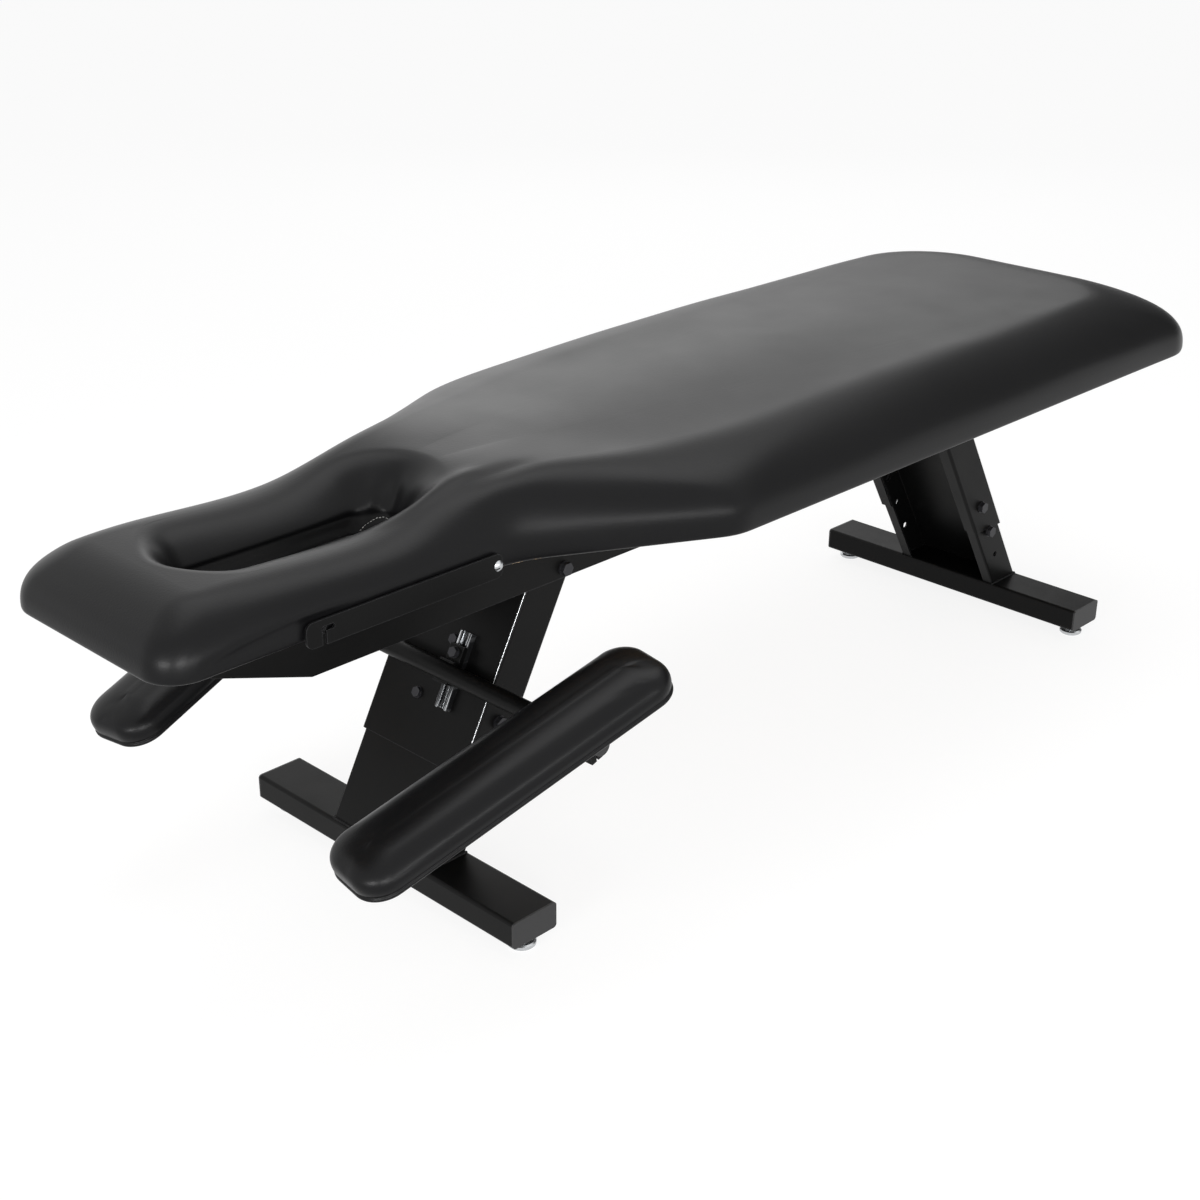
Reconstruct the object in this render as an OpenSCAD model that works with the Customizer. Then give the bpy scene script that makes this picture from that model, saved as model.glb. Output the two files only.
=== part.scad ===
// Treatment table with a fixed one-piece cushion, telescoping splayed legs and swivelling armrests.
// Origin on the floor under the middle of the cushion, +X to the foot end, +Z up.

/* [Cushion] */
// Length of the cushion
cushion_l = 1987; // [1800:1:2100]
// Width of the cushion at the body
body_w = 609.6; // [560:0.1:660]
// Width of the cushion at the head
head_w = 330.2; // [300:0.1:360]
// Height of the cushion's underside above the floor
deck_z = 489; // [470:1:520]
// Height of the cushion at the body
body_thick = 108; // [90:1:130]
// Height of the cushion at the head
head_thick = 69; // [60:1:90]
// Rise of the top's middle above its edges
crown = 3; // [0:1:8]
// Height of the band round the base board
band_h = 24; // [20:1:32]
// Distance from the head end to where the neck starts to widen
neck_x = 507; // [470:1:540]
// Distance from the head end to the end of the taper
shoulder_x = 766; // [730:1:810]
// Radius of the corners at the head end
head_corner_r = 48; // [30:1:70]
// Radius of the corners at the foot end
foot_corner_r = 100; // [60:1:130]
// Width of the soft edge along the body
side_roll = 112; // [80:1:130]
// Width of the soft edge along the foot end
foot_roll = 190; // [140:1:220]
// Width of the soft edge round the head
head_roll = 62; // [50:1:66]
// Thickness of the cover that is pulled round the board
cover_t = 3.5; // [2:0.5:5]

/* [Face slot] */
// Length of the face slot
slot_l = 325; // [280:1:350]
// Width of the face slot
slot_w = 90; // [70:1:100]
// Distance from the head end to the face slot
slot_from_head = 127; // [110:1:150]
// Width of the soft edge round the face slot
slot_roll = 46; // [30:1:50]

/* [Base board] */
// Thickness of the plywood board
board_t = 18; // [15:1:20]

/* [Side plates] */
// Thickness of the folded steel sheet
plate_t = 3; // [2:0.5:4]
// Depth of the side plates
plate_h = 84; // [76:1:95]
// Overall width over the side plates
spine_w = 203.2; // [190:0.1:215]
// Width of the flange under the board
flange_w = 38; // [30:1:45]
// Distance from the end of the cushion to the end of a side plate
plate_inset = 67; // [55:1:90]
// Length of the sloping end of a side plate
chamfer_l = 168; // [120:1:180]
// Height of the sloping end of a side plate
chamfer_h = 57; // [40:1:60]

/* [Legs] */
// Lean of the front leg from upright, in degrees
front_lean = 28; // [24:0.1:32]
// Lean of the rear leg from upright, in degrees
rear_lean = 31.3; // [24:0.1:33]
// Depth of a leg's outer channel, square to its lean
leg_d = 67; // [60:1:70]
// Width of a channel's in-turned lip
lip_w = 23; // [16:1:28]
// Wall of the leg channels
leg_t = 3; // [2:0.5:4]
// Height of the lower end of the outer channels
sleeve_z = 177; // [165:1:190]
// Height of the upper end of the inner channels
inner_top_z = 340; // [320:1:345]
// Spacing of the height holes along the leg
hole_pitch = 63.5; // [55:0.5:70]
// Distance from the foot beam to the lowest height hole, along the leg
first_hole = 90; // [80:1:100]
// Distance from the web's face to the height holes
hole_in = 35; // [30:1:40]

/* [Foot beams] */
// Distance from the head end to the front foot beam
foot_from_head = 397; // [350:1:450]
// Distance over the outer faces of both foot beams
foot_span = 1406.9; // [1300:0.1:1500]
// Length of a foot beam
foot_l = 533.4; // [480:0.1:580]
// Width of the foot beam's tube
foot_w = 76.2; // [74:0.1:90]
// Height of the foot beam's tube
foot_h = 38.1; // [34:0.1:45]
// Wall of the foot beam's tube
foot_t = 2.5; // [2:0.5:3]
// Clear height under the foot beams
foot_z = 20; // [18:1:26]

/* [Levelling glides] */
// Diameter of a glide's disc
glide_d = 38; // [30:1:45]
// Height of a glide's disc
glide_h = 8; // [6:0.5:8]
// Diameter of a glide's stud
stud_d = 10; // [8:1:12]
// Distance from the end of the beam to a glide
glide_in = 25; // [24:1:40]

/* [Armrest frame] */
// Diameter of the cross tube
tube_d = 25.4; // [22:0.1:28]
// Wall of the cross tube
tube_t = 2.1; // [1.5:0.1:3]
// Length over the plugs of the cross tube
tube_l = 652; // [640:1:680]
// Height of the cross tube
tube_z = 298; // [294:1:302]
// Gap between the cross tube and the leg's web
tube_gap = 14; // [13:0.5:18]
// Distance from the middle of the table to a swivel bolt
hub_y = 289; // [280:1:300]
// Length of a hub
hub_l = 40; // [30:1:44]
// Outside diameter of a hub
hub_d = 34; // [31:1:38]
// Length of the armrest track
track_l = 107; // [95:1:115]
// Width of the armrest track
track_w = 23; // [20:1:28]
// Depth of the armrest track
track_d = 8; // [7:0.5:9]
// Offset of the armrest track to the near side
track_y = 33.5; // [25:0.5:38]
// Height of the middle of the armrest track
track_z = 288; // [284:1:292]

/* [Armrests] */
// Length of an armrest
pad_l = 472; // [430:1:500]
// Width of an armrest
pad_w = 114; // [100:1:124]
// Height of an armrest with its board
pad_h = 46; // [38:1:52]
// Radius of an armrest's corners
pad_r = 48; // [30:1:48]
// Thickness of an armrest's board
pad_board_t = 12; // [9:1:14]
// Slope of an armrest down to the head end, in degrees
pad_tilt = 18; // [10:1:22]
// Turn of an armrest's foot end away from the table, in degrees
pad_toe = 8; // [0:1:10]
// Distance from the swivel bolt to an armrest's foot end
pad_back = 161; // [140:1:180]
// Distance from the cross tube to the swivel bolt
swivel_off = 36; // [32:1:45]

/* [Paper bars] */
// Length of a paper bar
bar_l = 297; // [260:1:310]
// Height of a paper bar
bar_h = 32; // [28:0.5:34]
// Thickness of a paper bar
bar_t = 3; // [2:0.5:4]
// Distance from the head end to the foot end of a paper bar
bar_x = 477; // [460:1:480]

/* [Hidden] */
$fn = 40;

// Overrun of every cut
over = 1;
// Play of the inner leg channels in the outer ones, on each side
leg_play = 0.5;
// Play of a turning or sliding shaft, on the radius
run_play = 0.05;
// Play between a bolt and a plain hole, on the radius
hole_play = 0.4;
// Play along the axis of a turning piece
side_play = 0.2;
// Play round a board inside its cover
board_play = 0.5;
// Play of the slider in its track
track_play = 0.15;

black = [0.05, 0.05, 0.055];
vinyl = [0.03, 0.03, 0.032];
zinc = [0.72, 0.73, 0.75];
ply = [0.70, 0.56, 0.38];
plastic = [0.08, 0.08, 0.085];

// Places along the table
head_x = -cushion_l / 2;
foot_x = cushion_l / 2;
neck_at = head_x + neck_x;
shoulder_at = head_x + shoulder_x;
slot_r = slot_w / 2;
slot_a = head_x + slot_from_head + slot_r;
slot_b = slot_a + slot_l - slot_w;
spine_half = spine_w / 2;
inner_half = spine_half - plate_t;
plate_low = deck_z - plate_h;
plate_end = foot_x - plate_inset;
foot_top = foot_z + foot_h;

// Exact rectangle with round corners, about the origin
module rounded(w, h, r) {
  square([w, h - 2 * r], center = true);
  square([w - 2 * r, h], center = true);
  for (i = [-1, 1]) for (j = [-1, 1])
    translate([i * (w / 2 - r), j * (h / 2 - r)]) circle(r);
}
// Mirror image across the middle of the table for s = -1
module side_of(s) multmatrix([[1, 0, 0, 0], [0, s, 0, 0], [0, 0, 1, 0]]) children();
// Extrusion along X of a shape drawn across the table
module along_x(l) rotate([90, 0, 90]) linear_extrude(l, center = true) children();
// Extrusion along Y of a shape drawn as seen from the near side
module along_y(l) rotate([90, 0, 0]) linear_extrude(l, center = true) children();

// Sizes of the bolts
bolt_d = 10;
bolt_af = 17;
bolt_head_h = 6.5;
washer_d = 20;
washer_t = 1.6;
nut_h = 7;
// Width over the corners of a hexagon, from its width over the flats
function hex_d(af) = af / cos(30);
// Head and washer that sit on a face at z = 0, with a shank down to -l
module bolt(d, af, h, l, wd) {
  cylinder(d = wd, h = washer_t);
  translate([0, 0, washer_t]) cylinder(d = hex_d(af), h = h, $fn = 6);
  translate([0, 0, -l]) cylinder(d = d, h = l);
}

// Stations of the cushion's outline
head_end_shares = [0.33, 0.67];
head_arc_n = 3;
neck_n = 5;
bend_n = 3;
body_n = 3;
foot_arc_n = 4;
foot_end_shares = [0.5];
// Length over which the neck and the shoulder are rounded
neck_blend = 40;
shoulder_blend = 22;
// Least corner radius of an inset outline
least_r = 6;
// Share of an inset by which the ends of the taper move to the foot
taper_share = 0.25;

function arc(c, r, a0, a1, n) = [for (i = [0 : n])
  let(a = a0 + (a1 - a0) * i / n) c + r * [cos(a), sin(a)]];
function bezier(a, b, c, n) = [for (i = [0 : n])
  let(t = i / n) (1 - t) * (1 - t) * a + 2 * t * (1 - t) * b + t * t * c];
function unit(v) = v / norm(v);
// Points between two places along a straight edge
function between(xa, xb, y, n) = [for (i = [1 : n]) [xa + (xb - xa) * i / (n + 1), y]];

// Half an outline, from the middle of the head end to the middle of the foot end,
// drawn in by h along the head, b along the body and f at the foot end
function half_outline(h, b, f) = let(
  x0 = head_x + h,
  x1 = foot_x - f,
  yh = head_w / 2 - h,
  yb = body_w / 2 - b,
  rh = max(head_corner_r - h, least_r),
  rf = max(foot_corner_r - min(b, f), least_r),
  n0 = [neck_at + taper_share * h, yh],
  n1 = [shoulder_at + taper_share * b, yb],
  s = unit(n1 - n0))
  concat([[x0, 0]],
    [for (t = head_end_shares) [x0, t * (yh - rh)]],
    arc([x0 + rh, yh - rh], rh, 180, 90, head_arc_n),
    between(x0 + rh, n0[0] - neck_blend, yh, neck_n),
    bezier(n0 - [neck_blend, 0], n0, n0 + neck_blend * s, bend_n),
    bezier(n1 - shoulder_blend * s, n1, n1 + [shoulder_blend, 0], bend_n),
    between(n1[0] + shoulder_blend, x1 - rf, yb, body_n),
    arc([x1 - rf, yb - rf], rf, 90, 0, foot_arc_n),
    [for (t = foot_end_shares) [x1, t * (yb - rf)]],
    [[x1, 0]]);
function mirrored(h) = concat(h, [for (i = [len(h) - 2 : -1 : 1]) [h[i][0], -h[i][1]]]);
function outline(d) = mirrored(half_outline(d, d, d));
function rolled(u) = mirrored(half_outline(u * head_roll, u * side_roll, u * foot_roll));

// The point of the slot's edge, moved out by e, that faces a point of the outline
function slot_point(p, e) = let(c = [min(max(p[0], slot_a), slot_b), 0])
  c + (slot_r + e) * unit(p - c);
function slot_loop(e) = [for (p = outline(0)) slot_point(p, e)];

// Height of the cushion's top, which climbs from the head to the body
climb_before = 208;
climb_after = 42;
function smooth(t) = let(c = min(max(t, 0), 1)) c * c * (3 - 2 * c);
function top_z(x) = deck_z + head_thick + (body_thick - head_thick)
  * smooth((x - neck_at + climb_before) / (climb_before + climb_after));
crease_z = deck_z + band_h;
ceiling_z = deck_z + board_t;
roll_angles = [14, 34, 56, 76, 90];
bridge_shares = [0.33, 0.67];
// Inset of the band's lower edge, and of the crease above the band
band_edge = 1.5;
crease_in = 1.5;

function at_z(loop, z) = [for (p = loop) [p[0], p[1], z]];
// A loop on the rolled edge at angle a
function on_roll(loop, a) = [for (p = loop)
  [p[0], p[1], crease_z + (top_z(p[0]) - crown - crease_z) * sin(a)]];
function bridge(l, m, t) = [for (i = [0 : len(l) - 1])
  let(q = (1 - t) * l[i] + t * m[i]) [q[0], q[1], top_z(q[0])]];
function reversed(l) = [for (i = [len(l) - 1 : -1 : 0]) l[i]];
// Triangles between successive loops of n points each, from loop 0 to the last
function band_faces(loops, n) = [for (k = [0 : loops - 2]) for (i = [0 : n - 1])
  let(a = k * n + i, b = k * n + (i + 1) % n, c = a + n, d = b + n)
  each [[a, b, c], [b, d, c]]];
// Triangles that close the last loop onto the first
function closing_faces(loops, n) = [for (i = [0 : n - 1])
  let(a = (loops - 1) * n + i, b = (loops - 1) * n + (i + 1) % n, c = i, d = (i + 1) % n)
  each [[a, b, c], [b, d, c]]];

function cushion_loops() = concat(
  [at_z(outline(cover_t), ceiling_z), at_z(outline(cover_t), deck_z),
    at_z(outline(band_edge), deck_z), at_z(outline(0), deck_z + band_edge),
    at_z(outline(crease_in), crease_z)],
  [for (a = roll_angles) on_roll(rolled(1 - cos(a)), a)],
  [for (t = bridge_shares) bridge(rolled(1), slot_loop(slot_roll), t)],
  [for (a = reversed(roll_angles)) on_roll(slot_loop(slot_roll * (1 - cos(a))), a)],
  [at_z(slot_loop(0), crease_z), at_z(slot_loop(0), deck_z),
    at_z(slot_loop(cover_t), deck_z), at_z(slot_loop(cover_t), ceiling_z)]);

module cushion() {
  loops = cushion_loops();
  n = len(loops[0]);
  m = len(loops);
  color(vinyl) polyhedron(points = [for (l = loops) each l],
    faces = concat(band_faces(m, n), closing_faces(m, n)), convexity = 8);
}

// Plywood board inside the cover
board_in = cover_t + board_play;
wood_screw_d = 5;
wood_screw_l = 15;
screw_tip_gap = 1;
screw_head_d = 10;
screw_head_h = 3.5;
board_screw_shares = [-0.95, -0.31, 0.12, 0.52, 0.95];
board_screw_x = [for (s = board_screw_shares) s * plate_end];
board_screw_y = spine_half - flange_w / 2;

module slot_shape(r) {
  for (x = [slot_a, slot_b]) translate([x, 0]) circle(r);
  translate([slot_a, -r]) square([slot_b - slot_a, 2 * r]);
}
module base_board() color(ply) difference() {
  translate([0, 0, deck_z]) linear_extrude(board_t) difference() {
    polygon(outline(board_in));
    slot_shape(slot_r + board_in);
  }
  for (s = [-1, 1]) for (p = [bar_pivot, bar_pin]) on_side(s, p)
    translate([0, 0, -bar_thread_l]) cylinder(d = bar_thread_d, h = bar_thread_l + over);
  for (s = [-1, 1]) for (x = board_screw_x) translate([x, s * board_screw_y, deck_z - over])
    cylinder(d = wood_screw_d, h = wood_screw_l + over);
}

// Side plates, each folded from sheet with its flange under the board
fold_r = 5;
module fold_profile() {
  translate([-plate_t, -plate_h]) square([plate_t, plate_h - fold_r]);
  translate([-flange_w, -plate_t]) square([flange_w - fold_r, plate_t]);
  translate([-fold_r, -fold_r]) intersection() {
    difference() {
      circle(fold_r);
      circle(fold_r - plate_t);
    }
    square(fold_r);
  }
}
module plate_outline() polygon([
  [-plate_end, deck_z], [plate_end, deck_z], [plate_end, plate_low + chamfer_h],
  [plate_end - chamfer_l, plate_low], [chamfer_l - plate_end, plate_low],
  [-plate_end, plate_low + chamfer_h]]);
module side_plate(s) color(black) side_of(s) difference() {
  intersection() {
    translate([0, spine_half, deck_z]) along_x(2 * plate_end) fold_profile();
    along_y(2 * spine_w) plate_outline();
  }
  for (x = board_screw_x) translate([x, board_screw_y, deck_z - plate_t - over])
    cylinder(d = wood_screw_d + 2 * hole_play, h = plate_t + 2 * over);
  for (e = [-1, 1]) saddle_hole(e);
}
module side_plate_near() side_plate(-1);
module side_plate_far() side_plate(1);

// Channels across the spine, clear of the face slot
cross_w = 32;
cross_h = 23;
cross_end_gap = 3;
cross_x = [-plate_end + cross_end_gap + cross_w / 2, 0, plate_end - cross_end_gap - cross_w / 2];
module cross_profile() intersection() {
  difference() {
    rounded(cross_w, 2 * cross_h, fold_r);
    rounded(cross_w - 2 * plate_t, 2 * (cross_h - plate_t), fold_r - plate_t);
  }
  translate([-cross_w / 2, 0]) square([cross_w, cross_h]);
}
module cross_members() color(black) for (x = cross_x)
  translate([x, 0, deck_z - fold_r - cross_h]) along_y(2 * inner_half) cross_profile();

module board_screws() color(zinc) for (s = [-1, 1]) for (x = board_screw_x)
  translate([x, s * board_screw_y, deck_z - plate_t - screw_head_h]) {
    cylinder(d = screw_head_d, h = screw_head_h);
    cylinder(d = wood_screw_d, h = screw_head_h + plate_t + wood_screw_l - screw_tip_gap);
  }

// Legs; e is -1 at the front and 1 at the rear.
// On a leg, x runs from the web's face to the open side and z up along the lean.
bend_in = 2;
inner_bend_in = 1;
front_web_x = head_x + foot_from_head;
rear_web_x = front_web_x + foot_span;
function web_x(e) = e < 0 ? front_web_x : rear_web_x;
function lean(e) = e < 0 ? front_lean : rear_lean;
module on_leg(e) translate([web_x(e), 0, foot_top])
  multmatrix([[-e, 0, 0, 0], [0, 1, 0, 0], [0, 0, 1, 0]]) rotate([0, lean(e), 0]) children();
// Distance along the leg at which depth x comes to height z
function s_at(e, z, x) = (z - foot_top + x * sin(lean(e))) / cos(lean(e));
// Place of the web's face at the top of the leg
function web_top_x(e) = web_x(e) - e * (plate_low - foot_top) * tan(lean(e));
leg_in = leg_t + leg_play;
hole_count = 4;
hole_s = [for (i = [0 : hole_count - 1]) first_hole + i * hole_pitch];
bolt_s = [hole_s[1], hole_s[2]];

module channel(d, w, r, lip) difference() {
  translate([d / 2, 0]) rounded(d, w, r + leg_t);
  translate([d / 2, 0]) rounded(d - 2 * leg_t, w - 2 * leg_t, r);
  translate([d - leg_t - over, lip - w / 2]) square([leg_t + 2 * over, w - 2 * lip]);
}
module slab(z0, z1) translate([head_x, -spine_w, z0]) cube([cushion_l, 2 * spine_w, z1 - z0]);
module flange_holes(list) for (s = list) translate([hole_in, 0, s])
  rotate([90, 0, 0]) cylinder(d = bolt_d + 2 * hole_play, h = spine_w + 2 * over, center = true);

module leg_outer(e) {
  s0 = s_at(e, sleeve_z, 0) - over;
  s1 = s_at(e, plate_low, leg_d) + over;
  color(black) intersection() {
    on_leg(e) difference() {
      translate([0, 0, s0]) linear_extrude(s1 - s0) channel(leg_d, spine_w, bend_in, lip_w);
      flange_holes(bolt_s);
      if (e < 0) for (p = web_bolt_at) translate([-over, p[0], p[1]]) rotate([0, 90, 0])
        cylinder(d = web_bolt_d, h = leg_t + 2 * over);
    }
    slab(sleeve_z, plate_low);
  }
}
module leg_inner(e) {
  s1 = s_at(e, inner_top_z, leg_d) + over;
  color(black) intersection() {
    on_leg(e) difference() {
      translate([leg_in, 0, -over]) linear_extrude(s1 + over)
        channel(leg_d - 2 * leg_in, spine_w - 2 * leg_in, inner_bend_in, lip_w - leg_in);
      flange_holes(hole_s);
    }
    slab(foot_top, inner_top_z);
  }
}
module front_leg_outer() leg_outer(-1);
module rear_leg_outer() leg_outer(1);
module front_leg_inner() leg_inner(-1);
module rear_leg_inner() leg_inner(1);

// Height bolts; each ends inside the outer wall, so the leg is free to slide
module height_bolts(e) color(black) on_leg(e) for (s = bolt_s) for (j = [-1, 1])
  translate([hole_in, j * spine_half, s]) rotate([-90 * j, 0, 0])
    bolt(bolt_d, bolt_af, bolt_head_h, leg_t - side_play, washer_d);
module front_height_bolts() height_bolts(-1);
module rear_height_bolts() height_bolts(1);

// Saddles between the side plates, over the top of each leg
saddle_over = 20;
saddle_h = 36;
saddle_bolt_in = 69.5;
saddle_bolt_up = 13;
module saddle_hole(e) translate([web_top_x(e) - e * saddle_bolt_in, 0, plate_low + saddle_bolt_up])
  rotate([90, 0, 0]) cylinder(d = bolt_d + 2 * hole_play, h = spine_w + 2 * over, center = true);
module saddle(e) {
  l = leg_d / cos(lean(e));
  color(black) difference() {
    translate([web_top_x(e) - e * l / 2, 0, plate_low]) {
      translate([0, 0, plate_t / 2]) cube([l + 2 * saddle_over, 2 * inner_half, plate_t], center = true);
      for (j = [-1, 1]) translate([0, j * (inner_half - plate_t / 2), saddle_h / 2])
        cube([l + 2 * saddle_over, plate_t, saddle_h], center = true);
    }
    saddle_hole(e);
  }
}
module front_saddle() saddle(-1);
module rear_saddle() saddle(1);
module saddle_bolts() color(black) for (e = [-1, 1]) for (j = [-1, 1])
  translate([web_top_x(e) - e * saddle_bolt_in, j * spine_half, plate_low + saddle_bolt_up])
    rotate([-90 * j, 0, 0]) {
      bolt(bolt_d, bolt_af, bolt_head_h, 2 * plate_t + nut_h, washer_d);
      translate([0, 0, -2 * plate_t - nut_h]) cylinder(d = hex_d(bolt_af), h = nut_h, $fn = 6);
    }

// Bolts through the front leg's web: place across the table and along the leg
web_bolt_d = 8;
web_bolt_af = 13;
web_bolt_head_h = 4;
web_bolt_at = [[-10, 298], [22, 212]];
module web_bolts() color(black) on_leg(-1) for (p = web_bolt_at) translate([0, p[0], p[1]])
  rotate([0, -90, 0]) bolt(web_bolt_d, web_bolt_af, web_bolt_head_h, leg_t, web_bolt_d * 2);

// Foot beams
foot_r = 5;
cap_t = 2.5;
cap_plug = 12;
foot_hole_play = 1.5;
function foot_mid_x(e) = web_x(e) - e * foot_w / 2;
glide_y = foot_l / 2 - glide_in;
module foot_beam(e) color(black) translate([foot_mid_x(e), 0, foot_z + foot_h / 2]) difference() {
  along_y(foot_l - 2 * cap_t) difference() {
    rounded(foot_w, foot_h, foot_r);
    rounded(foot_w - 2 * foot_t, foot_h - 2 * foot_t, foot_r - foot_t);
  }
  for (j = [-1, 1]) translate([0, j * glide_y, -foot_h / 2 - over])
    cylinder(d = stud_d + 2 * foot_hole_play, h = foot_t + 2 * over);
}
module front_foot_beam() foot_beam(-1);
module rear_foot_beam() foot_beam(1);

module foot_caps(e) color(plastic) for (j = [-1, 1])
  translate([foot_mid_x(e), j * (foot_l / 2 - cap_t / 2), foot_z + foot_h / 2]) {
    along_y(cap_t) rounded(foot_w, foot_h, foot_r);
    translate([0, -j * (cap_t + cap_plug) / 2, 0]) along_y(cap_plug)
      rounded(foot_w - 2 * foot_t, foot_h - 2 * foot_t, foot_r - foot_t);
  }
module front_foot_caps() foot_caps(-1);
module rear_foot_caps() foot_caps(1);

// Nuts of the glides: one under the beam and one welded inside it
glide_nut_af = 17;
jam_nut_h = 6;
weld_nut_h = 8;
module foot_nuts(e) color(zinc) for (j = [-1, 1]) translate([foot_mid_x(e), j * glide_y, 0])
  for (p = [[foot_z - jam_nut_h, jam_nut_h], [foot_z + foot_t, weld_nut_h]])
    translate([0, 0, p[0]]) difference() {
      cylinder(d = hex_d(glide_nut_af), h = p[1], $fn = 6);
      translate([0, 0, -over]) cylinder(d = stud_d + 2 * run_play, h = p[1] + 2 * over);
    }
module front_foot_nuts() foot_nuts(-1);
module rear_foot_nuts() foot_nuts(1);

// Levelling glides
glide_edge = 2;
stud_sunk = 4;
stud_top = 44;
stud_chamfer = 1;
module glide(e, j) color(zinc) translate([foot_mid_x(e), j * glide_y, 0]) rotate_extrude()
  polygon([[0, 0], [glide_d / 2 - glide_edge, 0], [glide_d / 2, glide_edge],
    [glide_d / 2, glide_h - glide_edge], [glide_d / 2 - glide_edge, glide_h],
    [stud_d / 2, glide_h], [stud_d / 2, glide_h - stud_sunk], [0, glide_h - stud_sunk]]);
module stud(e, j) color(zinc) translate([foot_mid_x(e), j * glide_y, 0]) rotate_extrude()
  polygon([[0, glide_h - stud_sunk], [stud_d / 2, glide_h - stud_sunk],
    [stud_d / 2, stud_top - stud_chamfer], [stud_d / 2 - stud_chamfer, stud_top], [0, stud_top]]);
module glide_front_near() glide(-1, -1);
module glide_front_far() glide(-1, 1);
module glide_rear_near() glide(1, -1);
module glide_rear_far() glide(1, 1);
module stud_front_near() stud(-1, -1);
module stud_front_far() stud(-1, 1);
module stud_rear_near() stud(1, -1);
module stud_rear_far() stud(1, 1);

// Track on the front leg's web, an open C
track_t = 1.6;
track_mouth = 13;
track_s = s_at(-1, track_z, 0);
module armrest_track() color(zinc) on_leg(-1) translate([0, -track_y, track_s - track_l / 2])
  linear_extrude(track_l) difference() {
    translate([-track_d, -track_w / 2]) square([track_d, track_w]);
    translate([track_t - track_d, track_t - track_w / 2])
      square([track_d - 2 * track_t, track_w - 2 * track_t]);
    translate([-track_d - over, -track_mouth / 2]) square([track_t + 2 * over, track_mouth]);
  }

// Cross tube of the armrests
tube_in = -tube_gap - tube_d / 2;
tube_s = s_at(-1, tube_z, tube_in);
tube_x = front_web_x + tube_s * sin(front_lean) + tube_in * cos(front_lean);
plug_t = 2;
plug_l = 12;
module armrest_tube() color(black) translate([tube_x, 0, tube_z]) rotate([90, 0, 0]) difference() {
  cylinder(d = tube_d, h = tube_l - 2 * plug_t, center = true);
  cylinder(d = tube_d - 2 * tube_t, h = tube_l, center = true);
}
module tube_plugs() color(plastic) for (j = [-1, 1]) translate([tube_x, j * tube_l / 2, tube_z])
  rotate([90 * j, 0, 0]) {
    cylinder(d = tube_d, h = plug_t);
    cylinder(d = tube_d - 2 * tube_t, h = plug_l);
  }

// Carriage: a slider in the track, a saddle under the tube and a clamp bolt above it
cheek_s = 16;
ear_s = 38;
ear_t = 8;
clamp_s = 27;
clamp_d = 8;
clamp_af = 13;
clamp_head_h = 5;
track_gap = 0.5;
carriage_w = 26;
slider_t = track_d - 2 * track_t - 2 * track_play;
module armrest_carriage() color(black) on_leg(-1) translate([0, -track_y, tube_s]) difference() {
  union() {
    translate([-track_d + track_t + track_play, track_t + track_play - track_w / 2, -cheek_s])
      cube([slider_t, track_w - 2 * track_t - 2 * track_play, cheek_s + ear_s]);
    translate([-track_d - track_gap, track_play - track_mouth / 2, -cheek_s])
      cube([track_gap + track_t + 2 * track_play, track_mouth - 2 * track_play, cheek_s + ear_s]);
    translate([tube_in, -carriage_w / 2, -cheek_s])
      cube([-tube_in - track_d - track_gap, carriage_w, 2 * cheek_s]);
    translate([-track_d - track_gap - ear_t, -carriage_w / 2, -cheek_s])
      cube([ear_t, carriage_w, cheek_s + ear_s]);
  }
  translate([tube_in, 0, 0]) rotate([90, 0, 0])
    cylinder(d = tube_d, h = carriage_w + 2 * over, center = true);
  translate([-track_d - track_gap - ear_t - over, 0, clamp_s]) rotate([0, 90, 0])
    cylinder(d = clamp_d, h = ear_t + track_gap + track_d);
}
module carriage_bolt() color(zinc) on_leg(-1)
  translate([-track_d - track_gap - ear_t, -track_y, tube_s + clamp_s]) rotate([0, -90, 0])
    bolt(clamp_d, clamp_af, clamp_head_h, ear_t + track_gap + track_d - 2 * track_t, clamp_d * 2);

// Hubs that clamp on the tube; s is -1 on the near side and 1 on the far side
rest_h = 20;
hub_plate_t = 4;
hub_plate_back = 14;
hub_plate_front = 16;
hub_slit = 3;
lug_w = 20;
lug_h = 14;
lug_bolt_d = 6;
lug_bolt_af = 10;
lug_bolt_head_h = 4;
lug_nut_h = 5;
lug_bolt_z = -hub_d / 2 - lug_h / 2;
module on_hub(s) translate([tube_x, s * hub_y, tube_z]) rotate([0, -pad_tilt, 0]) children();
module hub(s) color(black) on_hub(s) difference() {
  union() {
    rotate([90, 0, 0]) cylinder(d = hub_d, h = hub_l, center = true);
    translate([-swivel_off - hub_plate_front, -hub_l / 2, rest_h - hub_plate_t])
      cube([swivel_off + hub_plate_front + hub_plate_back, hub_l, hub_plate_t]);
    translate([-lug_w / 2, -hub_l / 2, -hub_d / 2 - lug_h]) cube([lug_w, hub_l, lug_h + hub_d / 4]);
  }
  rotate([90, 0, 0]) cylinder(d = tube_d + 2 * run_play, h = hub_l + 2 * over, center = true);
  translate([-hub_slit / 2, -hub_l / 2 - over, -hub_d / 2 - lug_h - over])
    cube([hub_slit, hub_l + 2 * over, hub_d / 2 + lug_h + over]);
  translate([0, 0, lug_bolt_z]) rotate([0, 90, 0])
    cylinder(d = lug_bolt_d + 2 * hole_play, h = lug_w + 2 * over, center = true);
  translate([-swivel_off, 0, rest_h - hub_plate_t - over])
    cylinder(d = bolt_d + 2 * run_play, h = hub_plate_t + 2 * over);
}
module hub_near() hub(-1);
module hub_far() hub(1);
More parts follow.
